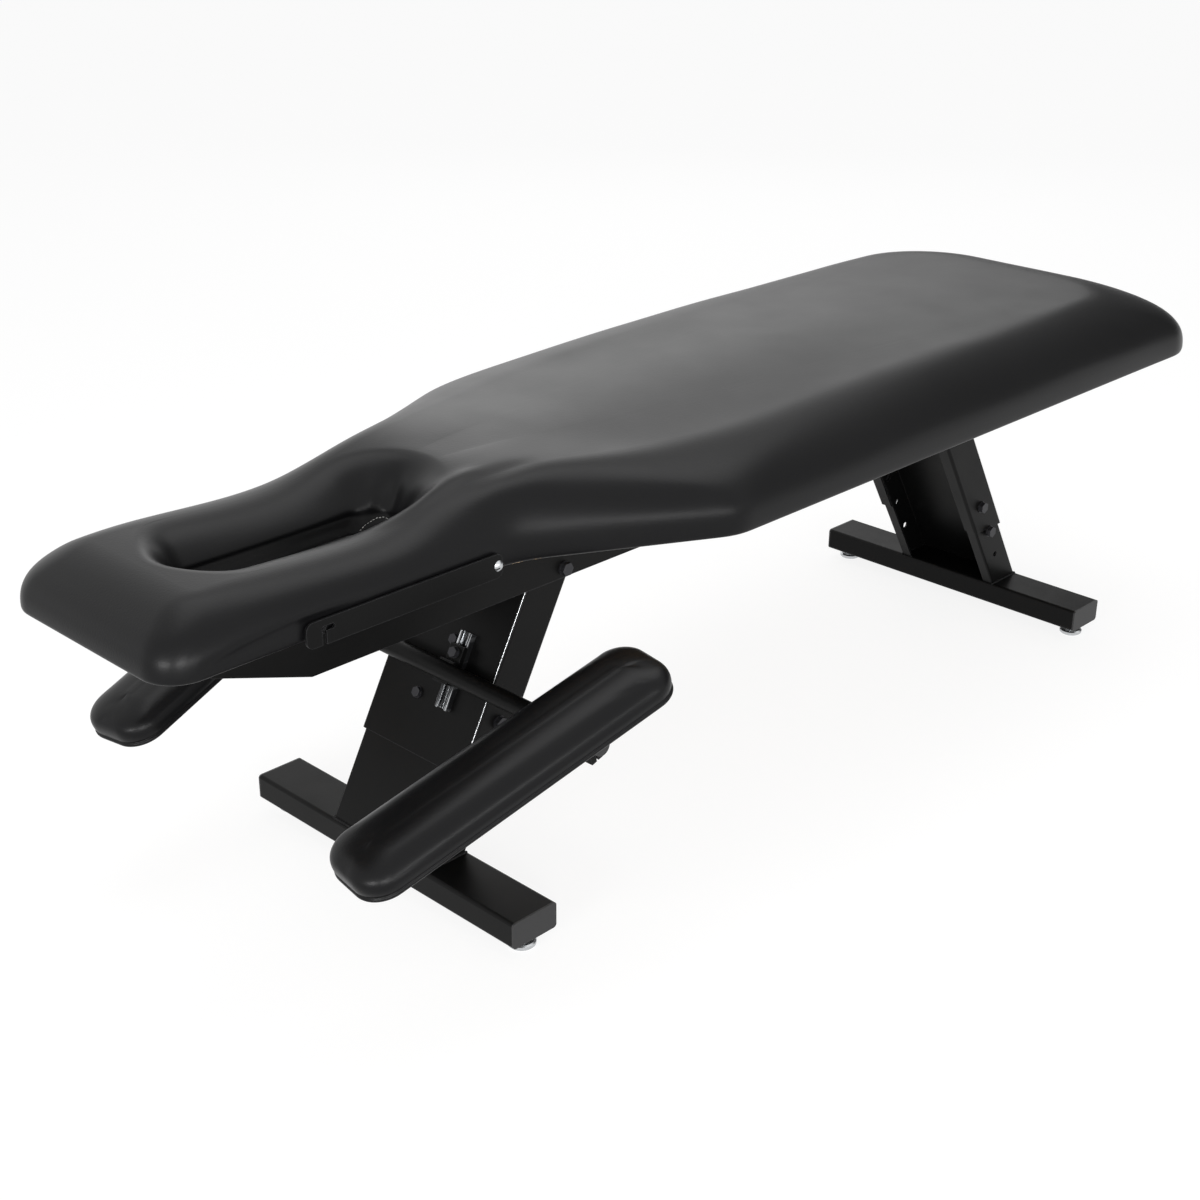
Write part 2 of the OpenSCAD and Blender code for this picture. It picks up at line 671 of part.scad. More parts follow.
module hub_bolt(s) color(zinc) on_hub(s) translate([-lug_w / 2, 0, lug_bolt_z]) rotate([0, -90, 0]) {
  bolt(lug_bolt_d, lug_bolt_af, lug_bolt_head_h, lug_w + lug_nut_h, lug_bolt_d * 2);
  translate([0, 0, -lug_w - lug_nut_h]) cylinder(d = hex_d(lug_bolt_af), h = lug_nut_h, $fn = 6);
}
module hub_bolt_near() hub_bolt(-1);
module hub_bolt_far() hub_bolt(1);

// Armrests; each turns on its swivel bolt
swivel_depth = 9;
module on_pad(s) on_hub(s) translate([-swivel_off, 0, rest_h + side_play])
  rotate([0, 0, s * pad_toe]) children();
module swivel_bolt(s) color(zinc) on_pad(s) {
  translate([0, 0, -2 * side_play - hub_plate_t]) rotate([180, 0, 0])
    bolt(bolt_d, bolt_af, bolt_head_h, hub_plate_t + 2 * side_play, washer_d);
  cylinder(d = bolt_d, h = swivel_depth);
}
module swivel_bolt_near() swivel_bolt(-1);
module swivel_bolt_far() swivel_bolt(1);

pad_arc_n = 4;
pad_side_n = 4;
function pad_half(d) = let(
  x0 = pad_back - pad_l + d,
  x1 = pad_back - d,
  y = pad_w / 2 - d,
  r = max(pad_r - d, least_r))
  concat(arc([x0 + r, y - r], r, 180, 90, pad_arc_n),
    between(x0 + r, x1 - r, y, pad_side_n),
    arc([x1 - r, y - r], r, 90, 0, pad_arc_n));
function pad_outline(d) = let(h = pad_half(d))
  concat(h, [for (p = reversed(h)) [p[0], -p[1]]]);
function pad_loop(d, z) = at_z(pad_outline(d), z);
module armrest_board(s) color(ply) on_pad(s) difference() {
  linear_extrude(pad_board_t) polygon(pad_outline(board_in));
  translate([0, 0, -over]) cylinder(d = bolt_d, h = swivel_depth + over);
}
module armrest_board_near() armrest_board(-1);
module armrest_board_far() armrest_board(1);

// Lip along the armrest's lower edge, the groove above it and the swell above that
pad_lip_h = 4.5;
pad_groove_h = 6.5;
pad_groove_in = 1.5;
pad_swell_h = 10;
pad_swell_in = 0.5;
// Inset and height of the loops from the board's recess up to the swell
pad_low_loops = [[cover_t, pad_board_t], [cover_t, 0], [band_edge, 0], [0, band_edge],
  [0, pad_lip_h], [pad_groove_in, pad_groove_h], [pad_swell_in, pad_swell_h]];
pad_roll = 34;
pad_side_z = 18;
pad_roll_angles = [0, 20, 42, 64, 80, 90];
// Triangles across a loop whose second half mirrors the first; b is its first point
function cap_faces(b, n, up) = let(f = [for (i = [0 : n / 2 - 2])
  each [[b + i, b + i + 1, b + n - i - 2], [b + i, b + n - i - 2, b + n - i - 1]]])
  [for (t = f) up ? t : [t[0], t[2], t[1]]];
module armrest_pad(s) {
  loops = concat([for (p = pad_low_loops) pad_loop(p[0], p[1])],
    [for (a = pad_roll_angles) pad_loop(pad_roll * (1 - cos(a)),
      pad_side_z + (pad_h - pad_side_z) * sin(a))]);
  n = len(loops[0]);
  m = len(loops);
  color(vinyl) on_pad(s) polyhedron(points = [for (l = loops) each l],
    faces = concat(band_faces(m, n), cap_faces(0, n, false), cap_faces((m - 1) * n, n, true)),
    convexity = 6);
}
module armrest_pad_near() armrest_pad(-1);
module armrest_pad_far() armrest_pad(1);

// Paper bars beside the head, each on a shouldered screw and hooked over a pin
bar_r = 10;
bar_gap = 3.2;
bar_collar_d = 12;
bar_screw_in = 6.5;
bar_shank_d = 6;
bar_head_d = 14;
bar_head_h = 3;
bar_pin_d = 4;
bar_thread_d = 4;
bar_thread_l = 22;
hook_in = 25;
hook_w = 6;
hook_l = 12;
hook_rise = 4;
bar_rise = 8;
bar_z = deck_z + bar_rise;
bar_end = head_x + bar_x;
bar_pivot = [bar_end - bar_screw_in, bar_z];
bar_pin = [bar_end - bar_l + hook_in, bar_z + hook_rise];
// Side of the head cushion, with z pointing away from the table
module on_side(s, p) translate([p[0], s * head_w / 2, p[1]]) rotate([-90 * s, 0, 0]) children();
module bar_profile() difference() {
  translate([bar_end - bar_l / 2, bar_z]) rounded(bar_l, bar_h, bar_r);
  translate(bar_pivot) circle(bar_shank_d / 2 + run_play);
  translate([bar_pin[0] - hook_w / 2, bar_z - bar_h / 2 - over])
    square([hook_w, bar_h / 2 + hook_rise + over]);
  for (x = [0, hook_l]) translate([bar_pin[0] + x, bar_pin[1]]) circle(hook_w / 2);
  translate([bar_pin[0], bar_pin[1] - hook_w / 2]) square([hook_l, hook_w]);
}
module paper_bar(s) color(black) translate([0, s * (head_w / 2 + bar_gap + bar_t / 2), 0])
  along_y(bar_t) bar_profile();
module paper_bar_near() paper_bar(-1);
module paper_bar_far() paper_bar(1);
bar_collar_l = bar_gap - side_play;
bar_shank_l = bar_collar_l + bar_t + 2 * side_play;
dome_r = (bar_head_d * bar_head_d / 4 + bar_head_h * bar_head_h) / (2 * bar_head_h);
module paper_bar_screws() color(zinc) for (s = [-1, 1]) on_side(s, bar_pivot) {
  translate([0, 0, -bar_thread_l]) cylinder(d = bar_thread_d, h = bar_thread_l);
  cylinder(d = bar_collar_d, h = bar_collar_l);
  cylinder(d = bar_shank_d, h = bar_shank_l);
  translate([0, 0, bar_shank_l]) rotate_extrude() intersection() {
    translate([0, bar_head_h - dome_r]) circle(dome_r);
    square([bar_head_d / 2, bar_head_h]);
  }
}
module paper_bar_pins() color(zinc) for (s = [-1, 1]) on_side(s, bar_pin) {
  translate([0, 0, -bar_thread_l]) cylinder(d = bar_thread_d, h = bar_thread_l);
  cylinder(d = bar_collar_d, h = bar_collar_l);
  cylinder(d = bar_pin_d, h = bar_gap + bar_t);
}

cushion();
base_board();
side_plate_near();
side_plate_far();
cross_members();
board_screws();
front_leg_outer();
rear_leg_outer();
front_saddle();
rear_saddle();
saddle_bolts();
front_height_bolts();
rear_height_bolts();
web_bolts();
armrest_track();
paper_bar_screws();
paper_bar_pins();
front_leg_inner();
front_foot_beam();
front_foot_caps();
front_foot_nuts();
rear_leg_inner();
rear_foot_beam();
rear_foot_caps();
rear_foot_nuts();
glide_front_near();
glide_front_far();
glide_rear_near();
glide_rear_far();
stud_front_near();
stud_front_far();
stud_rear_near();
stud_rear_far();
armrest_tube();
tube_plugs();
armrest_carriage();
carriage_bolt();
hub_near();
hub_far();
hub_bolt_near();
hub_bolt_far();
swivel_bolt_near();
swivel_bolt_far();
armrest_board_near();
armrest_board_far();
armrest_pad_near();
armrest_pad_far();
paper_bar_near();
paper_bar_far();
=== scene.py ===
"""Chiropractic table: upholstery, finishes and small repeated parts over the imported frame.

The frame's solids carry the steel, the board and the fastenings. This file lays the padded
cover and the two armrest pads over them, adds the stitches, staples, weld beads and threads,
gives every surface its finish, and sets the floor, the light and the camera.
"""
import math

import bmesh
import bpy
import numpy as np
from bpy.props import FloatProperty, FloatVectorProperty, IntProperty, PointerProperty
from mathutils import Matrix, Vector, noise


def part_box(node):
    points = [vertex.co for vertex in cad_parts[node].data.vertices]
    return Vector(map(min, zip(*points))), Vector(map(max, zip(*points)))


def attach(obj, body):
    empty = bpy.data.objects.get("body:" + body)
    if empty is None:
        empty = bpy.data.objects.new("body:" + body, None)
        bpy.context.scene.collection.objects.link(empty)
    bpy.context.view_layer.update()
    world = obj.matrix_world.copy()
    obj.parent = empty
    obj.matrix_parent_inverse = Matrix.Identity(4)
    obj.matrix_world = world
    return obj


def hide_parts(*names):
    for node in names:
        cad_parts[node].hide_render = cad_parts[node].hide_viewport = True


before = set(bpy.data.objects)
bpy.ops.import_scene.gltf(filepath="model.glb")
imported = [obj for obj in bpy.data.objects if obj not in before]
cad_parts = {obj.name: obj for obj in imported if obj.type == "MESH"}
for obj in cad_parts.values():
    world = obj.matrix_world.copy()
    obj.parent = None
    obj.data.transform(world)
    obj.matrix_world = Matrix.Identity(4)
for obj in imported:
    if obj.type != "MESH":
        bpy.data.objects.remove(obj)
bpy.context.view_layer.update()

bl_info = {
    "name": "Chiropractic table",
    "version": (1, 0, 0),
    "blender": (4, 5, 0),
    "location": "View3D > Sidebar > Chiropractic Table",
    "description": "Upholsters and finishes a chiropractic table over its steel frame",
    "category": "Object",
}

MM = 0.001
CUSHION_LOW, CUSHION_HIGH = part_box("cushion")
BOARD_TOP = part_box("base_board")[1].z
CORNERS = ("front_near", "front_far", "rear_near", "rear_far")


def hex_colour(text):
    """A linear colour from an sRGB hex value such as #1A1A1B."""
    parts = [int(text[i:i + 2], 16) / 255 for i in (1, 3, 5)]
    return [c / 12.92 if c <= 0.04045 else ((c + 0.055) / 1.055) ** 2.4 for c in parts]


def length(name, description, default):
    """A length, its default in millimetres."""
    return FloatProperty(name=name, description=description, default=default * MM, min=0, max=4,
                         subtype="DISTANCE", unit="LENGTH", precision=4)


def station(name, description, default):
    """A place along the table, its default in millimetres."""
    return FloatProperty(name=name, description=description, default=default * MM, unit="LENGTH")


def colour(name, description, default):
    return FloatVectorProperty(name=name, description=description, default=hex_colour(default),
                               size=3, min=0, max=1, subtype="COLOR")


def share(name, description, default):
    return FloatProperty(name=name, description=description, default=default, min=0, max=1,
                         subtype="FACTOR")


def angle(name, description, degrees):
    return FloatProperty(name=name, description=description, default=math.radians(degrees),
                         subtype="ANGLE", unit="ROTATION")


def power(name, description, watts):
    return FloatProperty(name=name, description=description, default=watts, min=0, unit="POWER")


# Sizes and colours that a user would change

class CushionSettings(bpy.types.PropertyGroup):
    head_width: length("Head width", "Width of the head section", 330.2)
    head_corner: length("Head corner", "Corner radius at the head end", 48)
    foot_corner: length("Foot corner", "Corner radius at the foot end", 100)
    neck_at: station("Neck", "Place along the table where the head section ends", -486.5)
    shoulder_at: station("Shoulder", "Place along the table where the body section starts", -227.5)
    slot_length: length("Slot length", "Length of the face slot", 325)
    slot_width: length("Slot width", "Width of the face slot", 90)
    slot_head: station("Slot centre", "Centre of the slot's round head end", -821.5)
    crown: length("Crown", "Rise of the middle of the body above its sides", 5)
    band: length("Band", "Height of the band below the crease", 38)
    head_roll: length("Head roll", "Width of the rolled edge at the head", 60)
    side_roll: length("Side roll", "Width of the rolled edge along the body", 112)
    foot_roll: length("Foot roll", "Width of the rolled edge at the foot end", 165)
    slot_roll: length("Slot roll", "Width of the rolled rim of the slot", 58)
    hem: length("Hem", "Width of the cover turned under the board", 28)
    fill: share("Fill", "How tightly the cover is filled", 0.85)


class PadSettings(bpy.types.PropertyGroup):
    pad_length: length("Pad length", "Length of an armrest pad", 472)
    pad_width: length("Pad width", "Width of an armrest pad", 114)
    pad_height: length("Pad height", "Height of an armrest pad with its board", 44.5)
    pad_corner: length("Pad corner", "Corner radius of an armrest pad", 38)
    pad_back: length("Pad back", "Reach of a pad from its swivel to its foot end", 161)
    roll: length("Roll", "Width of a pad's rolled edge", 49)
    swell: length("Swell", "Most that a pad's cover swells when it is stuffed", 0.8)
    tilt: angle("Tilt", "Slope of the armrests at rest", 18)
    toe: angle("Toe", "Turn of each armrest on its swivel at rest", 8)
    fill: share("Fill", "How tightly a pad is filled", 0.9)


class TrimSettings(bpy.types.PropertyGroup):
    stitch_spacing: length("Stitch spacing", "Distance from one stitch to the next", 4.5)
    staple_spacing: length("Staple spacing", "Distance from one staple to the next", 30)
    weld_spacing: length("Weld spacing", "Distance from one ripple of a weld to the next", 2.4)
    weld_size: length("Weld size", "Half the width of a weld bead", 2.6)
    thread_pitch: length("Thread pitch", "Pitch of the levelling studs' thread", 1.5)
    seed: IntProperty(name="Seed", description="Seed of the small variations", default=7, min=0)


class FinishSettings(bpy.types.PropertyGroup):
    vinyl: colour("Vinyl", "Colour of the upholstery vinyl", "#0C0C0D")
    powder: colour("Powder coat", "Colour of the frame's powder coat", "#080808")
    bar: colour("Bar paint", "Colour of the paper bars", "#090909")
    oxide: colour("Black oxide", "Colour of the blackened bolts", "#2C2C2F")
    zinc: colour("Zinc", "Colour of the zinc plating", "#C4C6C8")
    plastic: colour("Plastic", "Colour of the moulded caps", "#161617")
    birch: colour("Birch", "Colour of the plywood's face", "#C9A77C")
    track: colour("Track", "Colour of the worn armrest track", "#3A3B3D")
    thread: colour("Thread", "Colour of the stitches in the slot", "#C9C8C4")
    grain: length("Grain", "Spacing of the vinyl's embossed grain", 2.2)


class StageSettings(bpy.types.PropertyGroup):
    place: FloatVectorProperty(name="Camera place", description="Where the camera stands", size=3,
                               default=(-1.90866, -1.68554, 1.37991), subtype="TRANSLATION",
                               unit="LENGTH")
    heading: angle("Heading", "Direction the camera looks, clockwise from the far side", 45.9)
    pitch: angle("Pitch", "Angle the camera looks down", 24.35)
    roll: angle("Roll", "Turn of the camera about its line of sight", 0.45)
    lens: FloatProperty(name="Lens", description="Focal length in millimetres", default=55.14,
                        min=10, max=200)
    world: share("World", "Level of the even light from all round", 0.5)
    overhead: power("Overhead", "Power of the wide lamp overhead", 32)
    behind: power("Behind", "Power of the wide lamp behind the foot end", 13)
    near_side: power("Near side", "Power of the strip lamp on the near side", 75)
    head_side: power("Head side", "Power of the strip lamp beyond the head end", 70)
    front: power("Front", "Power of the small lamp beside the camera", 32)
    mirrored: FloatProperty(name="Mirrored", description="Level of the white surroundings in reflections",
                            default=1.3, min=0, max=4)
    dark: share("Dark end", "Level of what the vinyl reflects beyond the foot end", 0.15)
    floor: colour("Floor", "Colour of the floor", "#F2F2F2")


# Meshes

def new_object(name, data):
    """An object added to the scene."""
    made = bpy.data.objects.new(name, data)
    bpy.context.scene.collection.objects.link(made)
    return made


def mesh_object(name, verts, faces, closed=True):
    """A smooth object at the origin, with its normals outwards where it is closed."""
    mesh = bpy.data.meshes.new(name)
    mesh.from_pydata([tuple(v) for v in verts], [], [tuple(int(i) for i in f) for f in faces])
    work = bmesh.new()
    work.from_mesh(mesh)
    if closed:
        bmesh.ops.recalc_face_normals(work, faces=work.faces)
        if work.calc_volume(signed=True) < 0:
            bmesh.ops.reverse_faces(work, faces=work.faces)
    for face in work.faces:
        face.smooth = True
    work.to_mesh(mesh)
    work.free()
    return new_object(name, mesh)


def arc(cx, cy, r, start, end, n):
    """A circle's arc in n steps, its angles in degrees."""
    turns = np.radians(np.linspace(start, end, n + 1))
    return np.column_stack([cx + r * np.cos(turns), cy + r * np.sin(turns)])


def line(a, b, n):
    """Points between two places, neither of them included."""
    t = np.linspace(0, 1, n + 2)[1:-1, None]
    return (1 - t) * np.array(a) + t * np.array(b)


def bezier(a, b, c, n):
    """A curve from a to c that leans towards b, in n steps."""
    t = np.linspace(0, 1, n + 1)[:, None]
    return (1 - t) ** 2 * a + 2 * t * (1 - t) * b + t * t * c


def mirrored(half):
    """A whole outline from the half on the far side."""
    return np.vstack([half, half[-2:0:-1] * [1, -1]])


def ring_faces(rows, n):
    """Quads between successive rows of n points, the last row joined to the first."""
    return [(k * n + i, k * n + (i + 1) % n, (k + 1) % rows * n + (i + 1) % n, (k + 1) % rows * n + i)
            for k in range(rows) for i in range(n)]


def smooth_step(t):
    """0 below 0 and 1 above 1, with a smooth climb between them."""
    t = np.clip(t, 0, 1)
    return t * t * (3 - 2 * t)


def at_height(loop, z):
    return np.column_stack([loop, np.broadcast_to(z, len(loop))])


# The cushion

# How far round the neck and the shoulder the outline is rounded, and how much further the foam's upper
# edges are, at the shoulder and the foot corners; the neck and the head corners take shares of that
NECK_BLEND, SHOULDER_BLEND = 40 * MM, 22 * MM
SOFT_BLEND, SOFT_NECK = 170 * MM, 0.3
SOFT_CORNER, SOFT_HEAD = 110 * MM, 0.2
# How early on the way in the edges are soft
SOFT_PACE = 1.6
LEAST_CORNER = 6 * MM
# How much wider the roll is at the head end than at its sides
HEAD_SLANT = 0.35
# How far the neck and the shoulder move along the table for each step inwards
TAPER_SHARE = 0.25
# The stretch whose stations keep their places along the table in every loop, and their number
FIXED_START, FIXED_END, FIXED_STATIONS = -650 * MM, 60 * MM, 62
# How much narrower the slot's roll is at the head end
SLOT_TIGHT = 0.4
# The ledge that the slot's wall makes over the board's edge: its height, reach and half height
LEDGE_AT, LEDGE_REACH, LEDGE_HALF = 33 * MM, 6 * MM, 15 * MM
# Heights of the top above the deck along its length: it dips at the neck and climbs to the body
TOP_PLACES = np.array([-994, -950, -900, -820, -740, -670, -610, -560, -508, -430, -253, -91, 77, 251,
                       994]) * MM
TOP_HEIGHTS = np.array([67, 72, 76, 73, 69, 66, 70, 86, 100, 102.5, 95, 97.5, 104, 107.5, 107.5]) * MM
# Steps along the top, and the half width and the number of the running means that smooth it
TOP_STEPS, TOP_REACH, TOP_PASSES = 400, 6, 3
# Over what length the crown dies out, and the share of the foot roll that it leaves free
CROWN_END, CROWN_FOOT = 300 * MM, 0.6
# The widest line's least height, and over what length it climbs from each end
LEAST_BAND, BAND_HEAD, BAND_FOOT = 6 * MM, 150 * MM, 260 * MM
# How far the cover is inside the solids, its thickness, its gap to the board and how far it is undercut
COVER, CLOTH, HEM_GAP, UNDERCUT = 3.5 * MM, 1.3 * MM, 0.4 * MM, 2.8 * MM


def half_outline(s, h, b, f, soft=0.0):
    """Half the cushion's outline, drawn in by h along the head, b along the body and f at the foot."""
    x0, x1 = CUSHION_LOW.x + h * (1 + HEAD_SLANT * min(soft * 2, 1)), CUSHION_HIGH.x - f
    yh, yb = s.head_width / 2 - h, CUSHION_HIGH.y - b
    rh = max(s.head_corner - h + SOFT_CORNER * SOFT_HEAD * soft, LEAST_CORNER)
    rf = max(s.foot_corner - min(b, f) + SOFT_CORNER * soft, LEAST_CORNER)
    neck = np.array([s.neck_at + TAPER_SHARE * h, yh])
    shoulder = np.array([s.shoulder_at + TAPER_SHARE * b, yb])
    slope = (shoulder - neck) / np.linalg.norm(shoulder - neck)
    neck_cut = NECK_BLEND + SOFT_NECK * SOFT_BLEND * soft
    shoulder_cut = SHOULDER_BLEND + SOFT_BLEND * soft
    side = np.vstack([
        [[FIXED_START, yh]], bezier(neck - [neck_cut, 0], neck, neck + neck_cut * slope, 12),
        bezier(shoulder - shoulder_cut * slope, shoulder, shoulder + [shoulder_cut, 0], 16),
        [[FIXED_END, yb]]])
    places = np.linspace(FIXED_START, FIXED_END, FIXED_STATIONS)
    side = np.column_stack([places, np.interp(places, side[:, 0], side[:, 1])])
    # The last number of each stretch is its count of points
    return np.vstack([
        [[x0, 0]], line((x0, 0), (x0, yh - rh), 7),
        arc(x0 + rh, yh - rh, rh, 180, 90, 12),
        line((x0 + rh, yh), (FIXED_START, yh), 14), side,
        line((FIXED_END, yb), (x1 - rf, yb), 32),
        arc(x1 - rf, yb - rf, rf, 90, 0, 14),
        line((x1, yb - rf), (x1, 0), 10), [[x1, 0]]])


def outline(s, d):
    """The cushion's whole outline, drawn in by d."""
    return mirrored(half_outline(s, d, d, d))


def rolled(s, u):
    """The outline of the rolled edge, a share u of the way in from the widest line."""
    return mirrored(half_outline(s, u * s.head_roll, u * s.side_roll, u * s.foot_roll,
                                 soft=smooth_step(u * SOFT_PACE)))


def slot_loop(s, e):
    """The slot's edge moved out by e, a point of it for each point of the outline."""
    around = outline(s, 0)
    middle = np.column_stack([np.clip(around[:, 0], s.slot_head, s.slot_head + s.slot_length - s.slot_width),
                              np.zeros(len(around))])
    ways = around - middle
    ways /= np.linalg.norm(ways, axis=1)[:, None]
    tight = 1 - SLOT_TIGHT * smooth_step(-ways[:, 0]) * (around[:, 0] < s.slot_head)
    return middle + (s.slot_width / 2 + e * tight)[:, None] * ways


def top_height(s, loop):
    """Height of the cushion's top over a loop: the profile along the table, crowned across the body."""
    x, y = loop[:, 0], loop[:, 1]
    fine = np.linspace(TOP_PLACES[0], TOP_PLACES[-1], TOP_STEPS)
    heights, window = np.interp(fine, TOP_PLACES, TOP_HEIGHTS), 2 * TOP_REACH + 1
    for _ in range(TOP_PASSES):
        heights = np.convolve(np.pad(heights, TOP_REACH, mode="edge"), np.ones(window) / window, mode="valid")
    across = 1 - smooth_step(np.abs(y) / (CUSHION_HIGH.y - s.side_roll))
    foot = CUSHION_HIGH.x - s.foot_roll * CROWN_FOOT
    along = smooth_step((x - s.neck_at) / CROWN_END) * smooth_step((foot - x) / CROWN_END)
    return CUSHION_LOW.z + np.interp(x, fine, heights) + s.crown * across * along


def cushion_loops(s):
    """Loops from the board's upper face, under the hem, up the side, over the top and down the slot."""
    deck = CUSHION_LOW.z
    hem_top, hem_middle, hem_low = deck - HEM_GAP, deck - HEM_GAP - CLOTH / 2, deck - HEM_GAP - CLOTH
    x = outline(s, 0)[:, 0]
    # The widest line runs lowest round the two ends
    inland = smooth_step((x - CUSHION_LOW.x) / BAND_HEAD) * smooth_step((CUSHION_HIGH.x - x) / BAND_FOOT)
    widest = deck + LEAST_BAND + s.band * 0.5 * inland
    wall_foot = deck + LEAST_BAND + s.band * 0.5

    def on_roll(loop, turn, base):
        return at_height(loop, base + (top_height(s, loop) - base) * math.sin(turn))

    rows = [at_height(outline(s, inset), z) for inset, z in (
        (COVER, BOARD_TOP), (COVER, hem_top), (s.hem, hem_top), (s.hem + MM, hem_middle), (s.hem, hem_low),
        (10 * MM, hem_low), (6 * MM, deck - CLOTH))]
    for turn in np.radians([76, 58, 42, 28, 14]):
        rows.append(at_height(outline(s, UNDERCUT * (1 - math.cos(turn))),
                              widest - (widest - deck) * math.sin(turn)))
    turns = np.radians([0, 4, 8, 12, 16, 21, 28, 35, 42, 49, 56, 63, 69, 75, 80, 85, 90])
    rows += [on_roll(rolled(s, 1 - math.cos(a)), a, widest) for a in turns]
    shoulder_loop, rim_loop = rolled(s, 1), slot_loop(s, s.slot_roll)
    for t in np.linspace(0, 1, 16)[1:-1]:
        mixed = (1 - t) * shoulder_loop + t * rim_loop
        rows.append(at_height(mixed, top_height(s, mixed)))
    reaches = [(s.slot_roll * (1 - math.cos(a)), a) for a in turns[::-1]]
    wall = [(reach, on_roll(slot_loop(s, reach), a, wall_foot)[:, 2]) for reach, a in reaches]
    wall += [(0, deck + (wall_foot - deck) * k) for k in (0.75, 0.5, 0.25)]
    for reach, z in wall:
        ledge = LEDGE_REACH * np.exp(-((z - deck - LEDGE_AT) / LEDGE_HALF) ** 2)
        rows.append(at_height(slot_loop(s, reach - ledge), z))
    rows += [at_height(slot_loop(s, reach), z) for reach, z in (
        (1.6 * MM, deck - 0.3 * MM), (4 * MM, deck - CLOTH), (14 * MM, hem_low), (15 * MM, hem_middle),
        (14 * MM, hem_top), (COVER, hem_top), (COVER, BOARD_TOP))]
    return rows


# Folds in millimetres: each is a path, its half width and its depth, and a negative depth is a ridge
FOLDS = [
    # The crease of each side of the head, which dies out towards its corner, and the swell above it
    *[([(-965, y * 138, 497), (-935, y * 158, 500), (-912, y * 165, 505), (-823, y * 166, 513),
        (-740, y * 166, 515)], 6, 3.2) for y in (-1, 1)],
    *[([(-975, y * 128, 506), (-945, y * 150, 512), (-905, y * 158, 520)], 12, -2.5) for y in (-1, 1)],
    # The tuck in the slot's foot end and the swell beside it
    ([(-538, 10, 505), (-533, 12, 530), (-522, 15, 560)], 14, 6.5),
    ([(-562, 40, 515), (-553, 36, 532), (-546, 36, 550)], 13, -6),
    # The wrinkle that runs from the near rim up on to the body, and the hollow under it
    ([(-640, -84, 560), (-595, -86, 568), (-548, -88, 578), (-490, -84, 592)], 14, -4.5),
    ([(-545, -116, 566), (-490, -114, 580), (-430, -116, 590)], 18, 4),
]
FOLD_SAMPLES = 60
# The arched seam low in the slot's foot end, in millimetres
SEAM = [(-566, 41, 496), (-562, 38, 502), (-556, 33, 509), (-549, 27, 515), (-544, 17, 516), (-541, 9, 513),
        (-541, 0, 509), (-543, -10, 503), (-547, -20, 497)]


def vertex_values(mesh, name):
    """The place (co) or the normal of each vertex, a row for each."""
    values = np.zeros(len(mesh.vertices) * 3)
    mesh.vertices.foreach_get(name, values)
    return values.reshape(-1, 3)


def move_vertices(mesh, places):
    mesh.vertices.foreach_set("co", places.ravel())
    mesh.update()


def press_folds(obj, folds):
    """Presses folds into a cover. Each of them fades towards its ends."""
    mesh = obj.data
    places, ways = vertex_values(mesh, "co"), vertex_values(mesh, "normal")
    moved = np.zeros(len(places))
    for path, width, depth in folds:
        path = np.array(path) * MM
        reach = np.concatenate([[0], np.cumsum(np.linalg.norm(np.diff(path, axis=0), axis=1))])
        strength = np.zeros(len(places))
        for part in np.linspace(0, 1, FOLD_SAMPLES):
            point = [np.interp(part * reach[-1], reach, path[:, axis]) for axis in range(3)]
            near = np.exp(-np.sum((places - point) ** 2, axis=1) / (width * MM) ** 2)
            strength = np.maximum(strength, near * math.sin(math.pi * (0.06 + 0.88 * part)) ** 0.7)
        moved -= depth * MM * strength
    move_vertices(mesh, places + moved[:, None] * ways)


def slacken(obj, size, depth, least_z):
    """Gives a cover the faint unevenness of foam and stretched vinyl above a height."""
    mesh = obj.data
    places, ways = vertex_values(mesh, "co"), vertex_values(mesh, "normal")
    depths = np.array([noise.noise(Vector(p) / size) for p in places]) * depth
    depths *= smooth_step((places[:, 2] - least_z) / (20 * MM))
    move_vertices(mesh, places + depths[:, None] * ways)


def finish_shape(obj):
    """Applies one subdivision to the mesh itself, so that the mesh holds what is seen."""
    sub = obj.modifiers.new("Cover", "SUBSURF")
    sub.levels = sub.render_levels = 1
    seen = obj.evaluated_get(bpy.context.evaluated_depsgraph_get())
    made = bpy.data.meshes.new_from_object(seen)
    obj.modifiers.clear()
    old, obj.data = obj.data, made
    made.name = obj.name
    bpy.data.meshes.remove(old)
    for polygon in made.polygons:
        polygon.use_smooth = True


STUFFING_PRESSURE, STUFFING_FRAMES = 4, 20


def stuff(obj, held_points, most):
    """Swells a cover by a cloth simulation, its first points held, and keeps each point within a distance."""
    scene, mesh = bpy.context.scene, obj.data
    before = vertex_values(mesh, "co")
    held = obj.vertex_groups.new(name="held")
    held.add(list(range(held_points)), 1.0, "REPLACE")
    cloth = obj.modifiers.new("Stuffing", "CLOTH")
    cloth.settings.vertex_group_mass = "held"
    cloth.settings.use_pressure = True
    cloth.settings.uniform_pressure_force = STUFFING_PRESSURE
    cloth.settings.effector_weights.gravity = 0
    cloth.collision_settings.use_collision = False
    cloth.point_cache.frame_start, cloth.point_cache.frame_end = 1, STUFFING_FRAMES
    for frame_number in range(1, STUFFING_FRAMES + 1):
        scene.frame_set(frame_number)
    seen = obj.evaluated_get(bpy.context.evaluated_depsgraph_get())
    moved = vertex_values(seen.data, "co") - before
    obj.modifiers.remove(cloth)
    obj.vertex_groups.clear()
    scene.frame_set(1)
    reach = np.linalg.norm(moved, axis=1)[:, None]
    move_vertices(mesh, before + moved * np.minimum(1, most / np.maximum(reach, 1e-9)))


# Armrest pads

# The rows of a pad below its rolled edge, which its board, lip and groove hold in place
PAD_HELD_ROWS = 18
